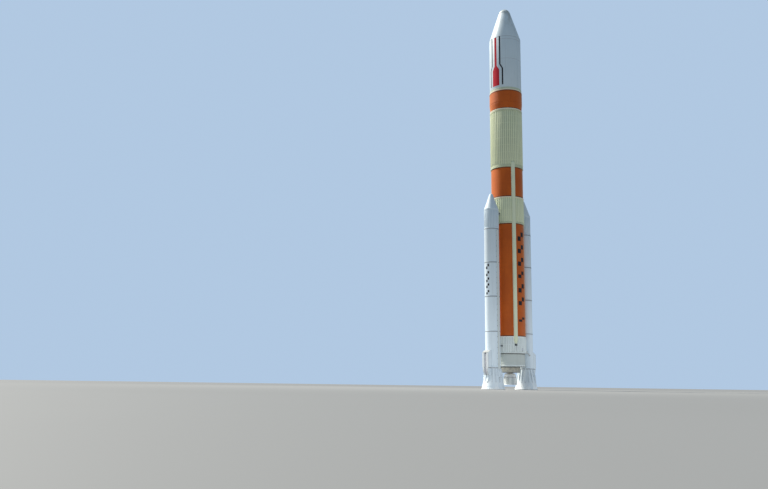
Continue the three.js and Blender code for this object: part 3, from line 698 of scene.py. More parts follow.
def fairing():
    wall, strip, pitch = 8.0, 0.8, 22.0
    inner = FAIRING_R - wall
    profile = [(FAIRING_R, FAIRING_LOW), (FAIRING_R, SHOULDER), (CAP_R, CONE_TOP), (CAP_R - wall, CONE_TOP)]
    profile = eased(profile + [(inner, SHOULDER), (inner, FAIRING_LOW)], 1.2, True, 30)
    for letter, side, start in (("a", -1, 90), ("b", 1, -90)):
        angles = np.radians(start + np.linspace(0, 180, 97))
        shells = moved([loft([[at(r, a, z) for r, z in profile] for a in angles])], (side * GAP / 2, 0, 0))
        # a flat joint strip with bolts runs up both edges of each half
        for edge, inwards in ((start, 1.35), (start + 180, -1.35)):
            levels = [(FAIRING_LOW + 14, -1.0, 1.0), (SHOULDER, -1.0, 1.0), (CONE_TOP - 6, -2.2, 2.2)]
            shells.append(ribbon(levels, fairing_radius, edge + inwards, strip, columns=2))
            places = []
            for z in np.arange(FAIRING_LOW + 24, CONE_TOP - 12, pitch):
                r = fairing_radius(z)
                a = math.radians(edge + inwards * (1.0 if z < SHOULDER else 0.8 * FAIRING_R / r))
                places.append((at(r + strip, a, z), at(1.0, a)))
            shells += bolts(places, 1.3, 0.9)
        parts = [(shells, FAIRING_WHITE)]
        piece(f"fairing_shell_{letter}", parts, replaces=[f"fairing_half_{letter}"])

    dark_line = [cone_band(fairing_radius, SHOULDER - 11, SHOULDER - 6, 0.35)]
    faint_lines = [cone_band(fairing_radius, SHOULDER - 48, SHOULDER - 44.5, 0.3)]
    faint_lines.append(cone_band(fairing_radius, 4230, 4233, 0.25))
    foot = [band(FAIRING_R, FAIRING_LOW + 1, FAIRING_LOW + 13, 1.0, 3)]
    foot += bolt_circle(72, FAIRING_R + 1.0, FAIRING_LOW + 7, 1.3, 0.9, 2.5)
    parts = [(dark_line, LINE_GREY_AND_SHADE), (faint_lines, PANEL_GREY), (foot, CREAM_DEEP)]
    piece("fairing_lines", parts)

    profile = [(0, CAP_LOW), (CAP_R - 1, CAP_LOW)] + rounded_tip(NOSE_R, TIP, CONE_HALF, 18)
    collar = [(CAP_R - 6, CAP_LOW + 1), (CAP_R + 0.7, CAP_LOW + 1)]
    collar += [(CAP_R - 1.0, CAP_LOW + 7), (CAP_R - 8, CAP_LOW + 7)]
    shells = [turned(profile, 96), turned(collar, 96, 0.4)]
    shells += bolt_circle(36, CAP_R + 0.1, CAP_LOW + 3.4, 1.0, 0.7)
    piece("nose_dome", [(shells, NOSE_WHITE)], replaces=["nose_cap"])


# Stripes: (height, half width in degrees) of the red one, (height, place in degrees) of the black lines
STRIPE_CENTRE = 183.0  # on the near booster's side, and the far side repeats it half a turn on
RED_LEVELS = [(3868, 14.6), (4085, 14.6), (4141, 4.8), (SHOULDER - 12, 4.8)]
LINE_LEVELS = [(3872, 27.0), (4095, 27.0), (4156, 17.6), (SHOULDER - 4, 17.6)]
LINE_HALF = 2.6


def stripes():
    """A red stripe that widens downwards between two thin black lines that jog outwards."""
    for name, centre in (("near", STRIPE_CENTRE), ("far", STRIPE_CENTRE + 180)):
        levels = [(z, -half, half) for z, half in RED_LEVELS]
        red = [ribbon(levels, fairing_radius, centre, 0.4, columns=14)]
        black = []
        for side in (-1, 1):
            levels = [(z, side * mid - LINE_HALF, side * mid + LINE_HALF) for z, mid in LINE_LEVELS]
            black.append(ribbon(levels, fairing_radius, centre, 0.4, columns=4))
        piece(f"fairing_stripes_{name}", [(red, RED), (black, BLACK)])


fairing()
stripes()


# Core: tanks in sprayed foam, ribbed sections with end rings, and what is fastened to them

FOAM_WAVE = 0.35  # how uneven the foam is


def foam_tank(node, seed, ends, r_low, r_high, edge=2.5):
    """A foam-covered tank whose skin is slightly uneven, with a dark rim of painted shade, the shadow line
    of the joint, at the ends that are named.
    """
    _, low, high = span(node)
    levels = np.linspace(low + edge, high - edge, max(3, round((high - low) / 11.0)))
    profile = [(0, low), (r_low - edge, low), (r_low - 0.3 * edge, low + 0.3 * edge)]
    profile += [(r_low + (r_high - r_low) * (z - low) / (high - low), z) for z in levels]
    profile += [(r_high - 0.3 * edge, high - 0.3 * edge), (r_high - edge, high), (0, high)]
    rng = np.random.default_rng(seed)
    turns = rng.integers(3, 40, 14)
    heights = rng.uniform(0.01, 0.09, 14)
    shifts = rng.uniform(0, TAU, 14)
    depth = FOAM_WAVE / CORE_R / 6

    def waves(a, z):
        return 1 + depth * sum(math.sin(n * a + h * z + s) for n, h, s in zip(turns, heights, shifts))

    # dark rims at the named ends: painted shade along the joints
    shade_rims = []
    for end, (r, z), up in (("low", profile[3], 9), ("high", profile[-4], -9)):
        if end in ends:
            shade_rims.append(hoop(r - 4, r + 0.7, z, z + up, ease=0.4))
    parts = [([turned(profile, CORE_SIDES, waves=waves)], ORANGE), (shade_rims, FOAM_SHADE_RIM)]
    piece(f"{node}_foam", parts, replaces=[node])


def core_tanks():
    upper_r = span("second_stage_tank")[0]
    foam_tank("hydrogen_tank", 11, "low high", CORE_R, CORE_R)
    foam_tank("oxygen_tank", 12, "low high", CORE_R, CORE_R)
    foam_tank("second_stage_tank", 13, "high", upper_r, upper_r, 4.0)
    foam_tank("second_stage_skirt", 14, "low", CORE_R, upper_r)
    r, low, high = span("fairing_base_ring")
    bright_top = low + 12
    ring = [drum(r, low, bright_top)] + bolt_circle(60, r, low + 6, 1.4, 0.9)
    profile = [(0, bright_top), (r - 1, bright_top), (r - 1, high - 3), (r - 3, high), (0, high)]
    parts = [(ring, CREAM_PALE), ([turned(profile, CORE_SIDES, 1.0)], CREAM_DEEP)]
    piece("fairing_ring", parts, replaces=["fairing_base_ring"])


def ribbed_section(node, count, looks, foot, head, bays):
    """A ribbed section of the core with thin frames that the ribs cross.

    looks holds the materials of its skin and ribs. foot and head list the rings at its ends, from the end
    inwards, as (height of the ring, look). The outermost one stands out most.
    """
    skin, rib = looks
    _, low, high = span(node)
    parts = [([drum(CORE_R, low, high)], skin)]
    ends = []
    for end, way, rings in ((low, 1, foot), (high, -1, head)):
        here, out = end, STRINGER_OUT + FRAME_OUT
        for tall, look in rings:
            a, b = sorted((here, here + way * tall))
            parts.append(([band(CORE_R, a, b, out)], look))
            here, out = here + way * tall, STRINGER_OUT - 0.6
        middle = end + way * rings[0][0] / 2
        screws = bolt_circle(count * 2, SECTION_R + FRAME_OUT - 0.1, middle, 1.2, 0.8, 90 / count)
        parts.append((screws, rings[0][1]))
        ends.append(here)
    half = TAU * CORE_R / count * 0.25
    shells = stringers(count, CORE_R, STRINGER_OUT, half, ends[0] - 3, ends[1] + 3)
    for z in np.linspace(low, high, bays + 1)[1:-1]:
        shells.append(band(CORE_R, z - 1.5, z + 1.5, 1.4))
    parts.append((shells, rib))
    piece(f"{node}_ribbed", parts, replaces=[node])


def core_sections():
    # each section's skin look is a darker copy of its ribs' paint: painted shade between the ribs
    foot, head = [(12, CREAM_FOOT), (20, CREAM_FOOT)], [(12, CREAM_PALE), (20, CREAM_FOOT)]
    ribbed_section("interstage", 48, (CREAM_SKIN_SHADE, CREAM), foot, head, 8)
    foot, head = [(9, CREAM_SMOOTH), (8, CREAM_FOOT)], [(13, CREAM_PALE)]
    ribbed_section("intertank", 48, (CREAM_SMOOTH, CREAM), foot, head, 4)
    foot, head = [(8, GREY_LIGHT)], [(12, AFT_RIB)]
    ribbed_section("aft_skirt", 60, (AFT_SKIN_SHADE, AFT_RIB), foot, head, 2)


DUCTS = ("cable_duct_front", "cable_duct_rear")
# Small things on the aft skirt: directions, height and half width of the vents and hatches
VENTS = (193, 13), 522, 15
HATCHES = (268.5, 88.5), 482, 15


def node_angle(node):
    """Direction of a node's middle, seen from the core's axis."""
    low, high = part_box(node)
    return math.degrees(math.atan2(low.y + high.y, low.x + high.x))


def aft_details():
    """Vents and small blue-grey hatches, each with a rim, low on the white section. The near-black of the
    vents' openings, of a strip under each hatch and of a patch at each duct's foot is painted shade.
    """
    dark, light, slats, panel = [], [], [], []
    turns, z, half = VENTS
    for turn in turns:
        light.append(plate(turn, z - 17, z + 17, half + 3, SECTION_R, 0.9, sink=5))
        dark.append(plate(turn, z - 14, z + 14, half, SECTION_R, 1.5, sink=5))
        for low in (z - 8, z - 1, z + 6):
            slats.append(plate(turn, low, low + 2, half - 2, SECTION_R, 2.0, 0.8))
    turns, z, half = HATCHES
    for turn in turns:
        light.append(plate(turn, z - 23, z + 22, half + 2.5, SECTION_R, 0.8, sink=5))
        panel.append(plate(turn, z - 17, z + 19, half, SECTION_R, 1.5, sink=5))
        dark.append(plate(turn, z - 22, z - 18, half, SECTION_R, 1.4, 1.5, 5))
    for node in DUCTS:
        foot = span(node)[1]
        dark.append(plate(node_angle(node), foot - 14, foot + 13, 14, SECTION_R, 1.6, 6.0, 5))
    parts = [(dark, DARK_SHADE), (light, AFT_RIB), (slats, JOINT_GREY_AND_SHADE), (panel, HATCH_GREY)]
    piece("aft_vents", parts)


def duct(node):
    """A cable duct in lengths, with a strap over each joint, a rounded top and a long tapered foot."""
    _, low, high = span(node)
    a = math.radians(node_angle(node))
    base, top, out, ledge = 25.0, 17.0, 219.0, CORE_R + 5
    taper, cap_high, length = 57.0, 16.0, 164.0
    foot, cap = low + taper, high - cap_high

    def run(*levels):
        """A stretch of the duct. levels holds (height, share of its depth, share of its width)."""
        rings = []
        for z, deep, wide in levels:
            outer = ledge + (out - ledge) * deep
            right = [(outer, top * wide), (ledge, base * wide), (CORE_R - 3, base * wide)]
            line = eased([(r, -across) for r, across in reversed(right)] + right, 3.0, least=10)
            rings.append([at(r, a, z, across) for r, across in line])
        return loft(rings)

    # a known fault: the lowest ring has 10 points and the others 14, so the faces of this stretch cross
    shells = [run((low, 0.02, 0.3), (low + 3, 0.08, 0.36), (foot - 4, 0.97, 0.97), (foot, 1, 1))]
    joints = np.linspace(foot, cap, round((cap - foot) / length) + 1)
    for b, c in zip(joints, joints[1:]):
        shells.append(run((b + 0.2, 0.95, 0.98), (b + 1.2, 1, 1), (c - 1.2, 1, 1), (c - 0.2, 0.95, 0.98)))
    shells.append(run((cap, 1, 1), (high - 9, 0.93, 0.9), (high - 3, 0.7, 0.68), (high, 0.3, 0.45)))
    places = []
    for z in joints:
        strap = [(z - 4, 1.02, 1.01), (z - 3, 1.05, 1.03), (z + 3, 1.05, 1.03), (z + 4, 1.02, 1.01)]
        shells.append(run(*strap))
        places += [(at(out + 0.7, a, z, across), at(1.0, a)) for across in (-0.6 * top, 0.6 * top)]
    shells += bolts(places, 1.4, 0.9)
    pipe = [tube([at(SECTION_R + 2.4, a, z) for z in (low + 10, low - 30, low - 72)], 2.2)]
    piece(f"{node}_cover", [(shells, DUCT_CREAM), (pipe, JOINT_GREY_AND_SHADE)], replaces=[node])


# Quartered aiming marks stand where the photograph has lettering: (lowest, highest) in millimetres
CORE_MARKS = [
    (1824, 1936), (1669, 1775), (1509, 1616), (1357, 1444), (1178, 1286), (1021, 1121), (818, 873),
]
BOOSTER_MARKS = [(1448, 1513), (1362, 1422), (1288, 1344), (1215, 1271), (1137, 1188)]
CORE_MARK_HALF, BOOSTER_MARK_HALF = 54.0, 23.0
CORE_MARK_TURN, BOOSTER_MARK_TURN = 272.0, 4.0


def quartered(marks, centre, half_width, r):
    """Marks of four cells, two of them black, wrapped on a round body."""
    wide = math.degrees(half_width / r)
    shells = []
    for low, high in marks:
        middle = (low + high) / 2
        for cell in ([(low, -wide, 0), (middle, -wide, 0)], [(middle, 0, wide), (high, 0, wide)]):
            shells.append(ribbon(cell, r, centre, 0.35, columns=6))
    return shells


core_tanks()
core_sections()
aft_details()
for duct_node in DUCTS:
    duct(duct_node)
core_marks = []
for mark_turn in (CORE_MARK_TURN, CORE_MARK_TURN - 180):
    core_marks += quartered(CORE_MARKS, mark_turn, CORE_MARK_HALF, CORE_R + 0.5)
piece("core_marks", [(core_marks, BLACK)])


# Engine section, heat shield, gimbal and engine

FLANGE_DROP = 9.0  # how far the flange hangs below the drum's solid
GIMBAL_Z = frame["joints"][0]["pos_m"][2] / MM
EAR_INNER, EAR_OUTER, EAR_HALF = 12.0, 18.0, 7.0


def engine_section():
    r, low, high = span("engine_section")
    low -= FLANGE_DROP
    body_r, recess_r, recess, flange = r - 7, 150, low + FLANGE_DROP + 3, low + 11
    seam, neck = low + 60, high - 14
    profile = [(0, recess), (recess_r, recess), (recess_r, low), (r, low), (r, flange), (body_r, flange)]
    profile += [(body_r, seam - 1.2), (body_r - 0.9, seam), (body_r, seam + 1.2)]
    profile += [(body_r, neck), (body_r - 6, neck + 2), (0, neck + 2)]
    shells = [turned(profile, CORE_SIDES, 1.2)]
    # near-black ring in the neck recess: painted shade under the aft skirt's overhang
    groove = [drum(body_r - 5, neck, high, ease=0.4)]
    groove += bolt_circle(60, body_r - 5, high - 7, 1.6, 1.2)
    rim = [band(r - 5, low + 0.2, flange + 0.4, 5.0, 3), band(body_r, flange, flange + 9, 1.2)]
    rim += bolt_circle(72, r, low + 5.5, 1.5, 0.9)
    for z in (seam + 5, seam - 5):
        shells += bolt_circle(96, body_r, z, 0.9, 0.6)
    parts = [(shells, GREY), (rim, GREY_LIGHT), (groove, GREY_SHADE)]
    piece("engine_section_drum", parts, replaces=["engine_section"])

    r, low, high = span("heat_shield")
    wall, ceiling, cells = 7.0, 8.0, 28
    rows = np.linspace(low + 5, high - 7, 15)

    def quilt(a, z):
        """Padded cells with stitched lines between them."""
        across = abs(math.sin(cells / 2 * a))
        along = abs(math.sin(TAU * (z - rows[0]) / (rows[-1] - rows[0])))
        return 0.991 + 0.009 * (across * along) ** 0.5

    profile = [(0, high), (r - 2, high), (r - 1, high - 4)] + [(r, z) for z in rows[::-1]]
    profile += [(r - 1, low + 2), (r - 2, low), (r - wall + 1, low), (r - wall, low + 2)]
    profile += [(r - wall, high - ceiling), (0, high - ceiling)]
    # dark rims at the shield's foot and top: painted shadow lines in the gaps below and above it
    shade_rims = [band(r - 2, low + a, low + b, 2.0, 3, 168) for a, b in ((0, 7), (58, 67))]
    parts = [([turned(profile, 224, waves=quilt)], BLANKET), (shade_rims, GREY_SHADE)]
    piece("heat_shield_cup", parts, replaces=["heat_shield"])


def ears(flat, turn=0):
    """Two bearing ears with round ends at the gimbal's pin. flat is the height of their other ends."""
    hangs = 1 if flat > GIMBAL_Z else -1
    half, middle = EAR_HALF, (EAR_INNER + EAR_OUTER) / 2
    line = []
    for a in np.linspace(0, math.pi, 13):
        line.append((-hangs * half * math.cos(a), GIMBAL_Z - hangs * (half * math.sin(a) + 1)))
    line += [(hangs * half, flat), (-hangs * half, flat)]
    ear = slab(line, (EAR_OUTER - EAR_INNER) / 2, 0.6, 0.8)
    pair = [moved([ear], (0, side * middle, 0))[0] for side in (-1, 1)]
    return moved(pair, turn=turn)


def gimbal_and_engine():
    _, _, high = span("gimbal_mount")
    profile = [(0, high - 5), (23, high - 5), (24, high - 4), (24, high), (0, high)]
    shells = [turned(profile, 48, 0.5)] + ears(high - 4)
    shells += bolt_circle(8, 20.5, high - 5, 1.6, 1.6, 22.5, (0, 0, -1))
    piece("gimbal_bracket", [(shells, STEEL)], replaces=["gimbal_mount"])

    pin, tip, half = 4.0, 20.0, 8
    shells = [block((-half, -half, GIMBAL_Z - half), (half, half, GIMBAL_Z + half), 1.2)]
    for x, y in ((tip, 0), (0, tip)):
        shells.append(bar(Vector((-x, -y, GIMBAL_Z)), Vector((x, y, GIMBAL_Z)), pin, 32))
    piece("gimbal_spider", [(shells, STEEL)], "gimbal_cross", ["gimbal_cross"])

    _, low, _ = span("engine_head")
    deck, bottom = 218.0, 200.0
    dome = [(0, low), (30, low), (33, low + 5), (34, low + 10)]
    dome += [(34, deck - 5), (30, deck - 1), (22, deck), (0, deck)]
    shells = [turned(dome, 64, 0.8), hoop(30, 36, low + 3, low + 7, 64, 0.5)]
    shells += bolt_circle(18, 34.6, low + 7, 1.3, 1.6, facing=(0, 0, 1)) + ears(deck - 1, 90)
    for y, r, top in ((46, 13, 232), (-44, 11, 226)):
        pump = [(0, bottom), (0.7 * r, bottom), (r, bottom + 6), (r, bottom + 14), (0.75 * r, bottom + 18)]
        pump += [(0.75 * r, top - 5), (0.55 * r, top), (0, top)]
        shells += moved([turned(pump, 40, 0.8)], (0, y, 0))
        path = [(0, y * share, z) for share, z in ((0.9, 208), (0.75, 209), (0.55, 209), (0.4, 208))]
        shells.append(tube(path, 5.5, 20))
    piece("engine_chamber_top", [(shells, STEEL)], "main_engine", ["engine_head"])


def engine_bell():
    """The bell: a wall of fine upright tubes, hoops, a greyer ring on its shoulder, a grey band of painted
    shade above the rim, and a bright rim.
    """
    bell_r, low, high = span("engine_bell")
    wall, tubes, rim_high = 4.0, 120, 11
    outer = [(30, high), (50, high - 0.2), (56, 193), (61.5, 188.5), (67, 180), (72, 165), (76, 148)]
    outer += [(79, 122), (80.3, 98), (80.5, 68)]
    inner = [(r - wall, z - 0.6 * wall) for r, z in reversed(outer[2:])]

    def tubed(a, z):
        return 1 + 0.006 * abs(math.sin(tubes / 2 * a)) * (1 if z < 190 else 0)

    profile = [(0, high)] + outer + [(80.5, 60), (76.5, 60)] + inner + [(0, 190)]
    shells = [turned(profile, tubes * 3, waves=tubed)]
    for r, z in ((78.4, 128), (80.1, 105), (80.5, 84)):
        shells.append(band(r - 1, z - 1.8, z + 1.8, 2.84, 2.5, 120, 0.6))
    rim_top = low + rim_high
    grey = [turned([(70, 145), (77.4, 145), (75.2, 156), (70, 156)], 120, 0.8)]
    # a grey band just above the rim: painted shade
    grey.append(band(80.0, rim_top, rim_top + 3, 1.2, 3, 120, 0.4))
    rim = [turned([(76.5, low), (bell_r, low), (bell_r, rim_top), (79, rim_top), (76.5, low + 8)], 160, 1.6)]
    parts = [(shells, BELL), (grey, BELL_RING_AND_SHADE), (rim, RIM)]
    piece("engine_bell_wall", parts, "main_engine", ["engine_bell"], sharp=60)


engine_section()
gimbal_and_engine()
engine_bell()


# Boosters: made once with the outer side towards +X, then placed on both sides

FORWARD_LOW = span("booster_a_forward_skirt")[1]
JOINT_OUT = span("booster_a_motor_segment_1")[0] - BOOSTER_R
JOINT_HIGH = 9.0
FLANGE_R, _, SKIRT_TOP = span("booster_a_skirt")
CONE_HIGH, FOOT_R, FLANGE_HIGH = 235.0, 140.0, 6.0
SWIVEL_Z = frame["joints"][2]["pos_m"][2] / MM


def skirt_radius(z):
    return BOOSTER_R + (FOOT_R - BOOSTER_R) * max(0.0, CONE_HIGH - z) / CONE_HIGH


def booster_nose():
    tip_r = 25.0
    tip_up = BOOSTER_TIP - tip_r - CONE_LOW
    half = math.acos(tip_r / math.hypot(BOOSTER_R, tip_up)) - math.atan2(tip_up, BOOSTER_R)

    def radius_at(z):
        return BOOSTER_R - (z - CONE_LOW) * math.tan(half)

    profile = [(0, CONE_LOW), (BOOSTER_R, CONE_LOW)] + rounded_tip(tip_r, BOOSTER_TIP, half, 10)
    shells = [turned(profile, BOOSTER_SIDES)]
    shells.append(band(BOOSTER_R, CONE_LOW + 1, CONE_LOW + 7, 0.5, 4, BOOSTER_SIDES, 0.4))
    shells.append(cone_band(radius_at, BOOSTER_TIP - 52, BOOSTER_TIP - 47, 0.5, 2, 96))
    return [(shells + bolt_circle(28, BOOSTER_R + 0.5, CONE_LOW + 4, 1.0, 0.7), FORWARD_WHITE)]


def booster_forward():
    """The ribbed forward skirt: a dark joint ring at its foot, a bright ring over it, then the ribs."""
    low, high, skin = FORWARD_LOW, CONE_LOW - GAP, BOOSTER_R - 3
    ring_top = low + JOINT_HIGH
    # the joint ring's dark grey is partly its own colour and partly painted shadow beneath it
    joint = [band(skin, low, ring_top, 3 + JOINT_OUT, 4, BOOSTER_SIDES)]
    joint += bolt_circle(56, BOOSTER_R + JOINT_OUT, low + JOINT_HIGH / 2, 1.1, 0.8)
    ribbed = stringers(28, skin, 3, 4.6, ring_top + 11, high - 8)
    for a, b, z in ((ring_top, ring_top + 13, ring_top + 7), (high - 10, high, high - 5)):
        ribbed.append(band(skin, a, b, 3, 4, BOOSTER_SIDES))
        ribbed += bolt_circle(56, BOOSTER_R, z, 0.9, 0.7)
    # the skin between the ribs is a darker copy of their paint: painted shade
    inner = [drum(skin, low, high, BOOSTER_SIDES)]
    return [(inner, FORWARD_SKIN_SHADE), (joint, JOINT_GREY_AND_SHADE), (ribbed, FORWARD_WHITE)]


def booster_segment(low, high, ring_look):
    """A motor segment: the joint ring with its pins at the foot, a narrow groove, and the plain case."""
    r, ring, top = BOOSTER_R, BOOSTER_R + JOINT_OUT, low + JOINT_HIGH
    profile = [(0, low), (r - 1, low), (r - 1, top), (r + 0.6, top + 1), (r + 0.6, top + 6)]
    profile += [(r - 0.8, top + 6.6), (r - 0.8, top + 8), (r, top + 8.6)]
    profile += [(r, high - 9), (r + 0.8, high - 8), (r + 0.8, high - 3), (r - 1.2, high), (0, high)]
    edge = [(r - 4, high - 2.4), (r + 0.3, high - 2.4), (r - 0.6, high), (r - 4, high)]
    # the joint ring's dark grey is partly its own colour and partly painted shadow beneath it
    joint = [hoop(r - 4, ring, low, top, BOOSTER_SIDES, 0.6), turned(edge, BOOSTER_SIDES)]
    joint += bolt_circle(60, ring, low + JOINT_HIGH / 2, 1.3, 0.9)
    return [([turned(profile, BOOSTER_SIDES, 0.4)], BOOSTER_WHITE), (joint, ring_look)]


# Skirt ribs: (height, how far it stands out, half width)
FIN_LEVELS = [(84, 0.4, 4.2), (104, 4.6, 5.0), (140, 9.0, 5.4), (180, 12.0, 5.4), (222, 10.5, 5.2)]
FIN_LEVELS += [(246, 6.8, 5.0), (255, 1.0, 4.2)]
PORT = (5.0, 86.0, 7.5)  # direction from the outer side, height and radius
SLOT = (85.5, 90.0, 150.0, 4.8, -5.5)  # direction, lowest and highest point, half width, turn of its foot


def booster_skirt():
    wall, foot_in, top, ring_low = 8.0, 17.0, SKIRT_TOP, 36.0
    profile = [(FLANGE_R - foot_in, 0), (FLANGE_R, 0), (FLANGE_R, FLANGE_HIGH)]
    profile += [(skirt_radius(z), z) for z in (FLANGE_HIGH, 60, 120, 180)]
    profile += [(BOOSTER_R, CONE_HIGH), (BOOSTER_R, top), (BOOSTER_R - wall, top)]
    profile += [(BOOSTER_R - wall, CONE_HIGH), (skirt_radius(FLANGE_HIGH) - wall, FLANGE_HIGH)]
    shells = [turned(profile, BOOSTER_SIDES, 1.0)]
    shells += ribs(16, [(z, skirt_radius(z), out, half) for z, out, half in FIN_LEVELS], 11.25, ROUND)
    # grey strips under the edges of each fin: painted shade in the valleys beside the fins
    fin_shade_lines = ribs(16, [(z, skirt_radius(z), 0.7, half + 2.4) for z, _, half in FIN_LEVELS], 11.25)
    joint = [band(BOOSTER_R, top - 14, top - 4, JOINT_OUT - 0.4, 3, BOOSTER_SIDES)]
    joint += bolt_circle(48, BOOSTER_R + JOINT_OUT - 0.4, top - 9, 1.1, 0.8)
    # the flange is paler than the skirt: painted light along its sunlit edge
    flange = [band(FOOT_R, 0, 10, FLANGE_R - FOOT_R, 4, BOOSTER_SIDES)]
    shells += bolt_circle(32, FLANGE_R - 3.2, FLANGE_HIGH, 1.5, 1.6, 5, (0, 0, 1))
    shells.append(cone_band(skirt_radius, ring_low, ring_low + 5, 0.9, 3, BOOSTER_SIDES))
    slope = math.atan2(FOOT_R - BOOSTER_R, CONE_HIGH)
    turn, z, r = PORT
    a = math.radians(turn)
    place = [(at(skirt_radius(z), a, z), at(math.cos(slope), a, math.sin(slope)))]
    # the near-black port and slot are painted shade in their openings
    dark = bolts(place, r, 1.3, 24)
    shells += bolts(place, r + 2, 0.7, 24)
    turn, slot_low, slot_high, half, foot_turn = SLOT
    wide = math.degrees(half / skirt_radius((slot_low + slot_high) / 2))
    levels = [(slot_low, foot_turn - wide, foot_turn + wide), (slot_high, -wide, wide)]
    dark.append(ribbon(levels, skirt_radius, turn, 0.9, 2.0, 4))
    parts = [(shells, SKIRT_WHITE), (dark, DARK_SHADE), (fin_shade_lines, LINE_GREY_AND_SHADE), (joint, JOINT_GREY_AND_SHADE)]
    return parts + [(flange, FLANGE_LIT_WHITE)]


def ball(r, start, end, steps=10):
    """Points on a circle about the swivel, in the plane of radius and height."""
    angles = np.radians(np.linspace(start, end, steps + 1))
    return [(r * math.cos(t), SWIVEL_Z + r * math.sin(t)) for t in angles]


BALL_R, BEARING_IN, BEARING_OUT, SEAT_R = 30.0, 30.6, 36.4, 37.0
BALL_HALF = 24  # degrees above and below the swivel's centre


def booster_rear():
    """Rear dome of the motor over the bearing's seat, seen from below."""
    r, _, high = span("booster_a_rear_dome")
    seat = ball(SEAT_R, -14, BALL_HALF, 8)
    seat_r, seat_z = seat[-1]
    profile = [(0, high), (r, high), (r, 250), (74, 243), (62, 238), (52, 232), (46, 228)]
    profile += [(44, SWIVEL_Z - 10)] + seat + [(seat_r - 2, seat_z + 12), (0, seat_z + 12)]
    tilt = math.radians(52)
    places = []
    for point, (x, y, _) in around(20, 54, 233.2):
        places.append((point, (x * math.cos(tilt), y * math.cos(tilt), -math.sin(tilt))))
    return [([turned(profile, 96, 0.6)] + bolts(places, 1.6, 1.6), GREY)]


def booster_bearing():
    profile = ball(BEARING_OUT, -16, BALL_HALF) + ball(BEARING_IN, BALL_HALF, -16)
    return [([turned(profile, 96)], RUBBER)]


def booster_nozzle():
    """The nozzle: a ball that turns in the bearing and a flared carbon cone with hoops."""
    wall = 4.0
    top = ball(BALL_R, BALL_HALF, -BALL_HALF)
    cone = [(24, 190), (27, 178), (30, 168), (36.5, 138), (42.6, 112), (48, 90), (54.5, 56), (60, 24)]
    inner = [(r - wall, z) for r, z in reversed(cone[2:])]
    shells = [turned([(0, top[0][1])] + top + cone + inner + [(0, 172)], 96)]
    for z, r in ((150, 34.0), (112, 42.6), (70, 51.8)):
        shells.append(band(r - 0.6, z - 2.2, z + 2.2, 2.0, 2, 96))
    rim = [turned([(56.2, 24), (60.9, 24), (60.2, 31), (55.4, 31)], 96, 1.0)]
    return [(shells, CARBON), (rim, DARK_METAL_AND_SHADE)]


def booster_raceway(node):
    """A wiring tunnel in lengths with a strap and two side clips at each joint."""
    half, out, edge, count = 14.0, 99.0, 3.0, 26
    _, low, high = span(node)

    def run(a, b, grow=0.0):
        right = [(out + grow, half - edge), (out - edge, half + grow), (BOOSTER_R - 0.6, half + grow)]
        line = eased([(r, -across) for r, across in reversed(right)] + right, 1.5)
        return loft([[(p[0], p[1], z) for p in line] for z in (a, b)])

    shells, clips = [], []
    joints = np.linspace(min(low, CONE_HIGH + 4), high, count + 1)
    for a, b in zip(joints, joints[1:]):
        shells += [run(a + 0.3, b - 0.3), run(b - 5, b - 1, 0.6)]
        shells += bolts([((out + 0.6, y, b - 3), (1, 0, 0)) for y in (-8, 8)], 1.1, 0.7)
        for y in (-half - 5, half + 0.4):
            clips.append(block((BOOSTER_R - 3, y, b - 10), (BOOSTER_R + 1.8, y + 4.6, b - 1), 0.5))
    return [(moved(shells, turn=90), RACEWAY), (moved(clips, turn=90), JOINT_GREY_AND_SHADE)]


POD_LOW, POD_HIGH = (c.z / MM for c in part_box("booster_a_equipment_pod"))
POD_OUT = -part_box("booster_a_equipment_pod")[0].x / MM - BOOSTER_X + 3
POD_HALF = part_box("booster_a_equipment_pod")[1].y / MM + 1
POD_FACE_HIGH, POD_BEND, POD_FOOT_OUT = 436.0, 210.0, 118.0
POD_WALL_LOW, POD_WAIST, POD_WAIST_HALF, POD_FOOT_HALF = 261.0, 250.0, 42.0, 34.0
RECESS_HALF, RECESS_DEEP, RECESS_LOW, RECESS_HIGH = 16.0, 5.0, 180.0, 433.0
POD_SLOPE = (POD_OUT - POD_FOOT_OUT) / (POD_BEND - POD_LOW)


def pod_column(levels, corner=2.0, deep=100.0):
    """An upright box on the booster, as deep as it may be. levels holds (height, outer face, two sides)."""
    rings = []
    for z, out, one, other in levels:
        inner = max(out - deep, math.sqrt(skirt_radius(z) ** 2 - max(abs(one), abs(other)) ** 2) - 4)
        line = eased([(inner, one), (out, one), (out, other), (inner, other)], corner, True)
        rings.append([(x, y, z) for x, y in line])
    return loft(rings)


def pod_middle(rows, half, corner=2.0):
    """A part of the pod over its whole middle. rows holds (height, outer face)."""
    return pod_column([(z, out, -half, half) for z, out in rows], corner)


def pod_rails(rows, drop, deep=100.0):
    """The same part of the pod on both sides of the recess. rows holds (height, outer face, half width)."""
    shells = []
    for side in (-1, 1):
        levels = [(z, out - drop, side * RECESS_HALF, side * (half - drop)) for z, out, half in rows]
        shells.append(pod_column(levels, 2.0, deep))
    return shells


def pod_foot_face(z):
    """Place of the pod's outer face on its sloping foot."""
    return POD_FOOT_OUT + POD_SLOPE * (z - POD_LOW)


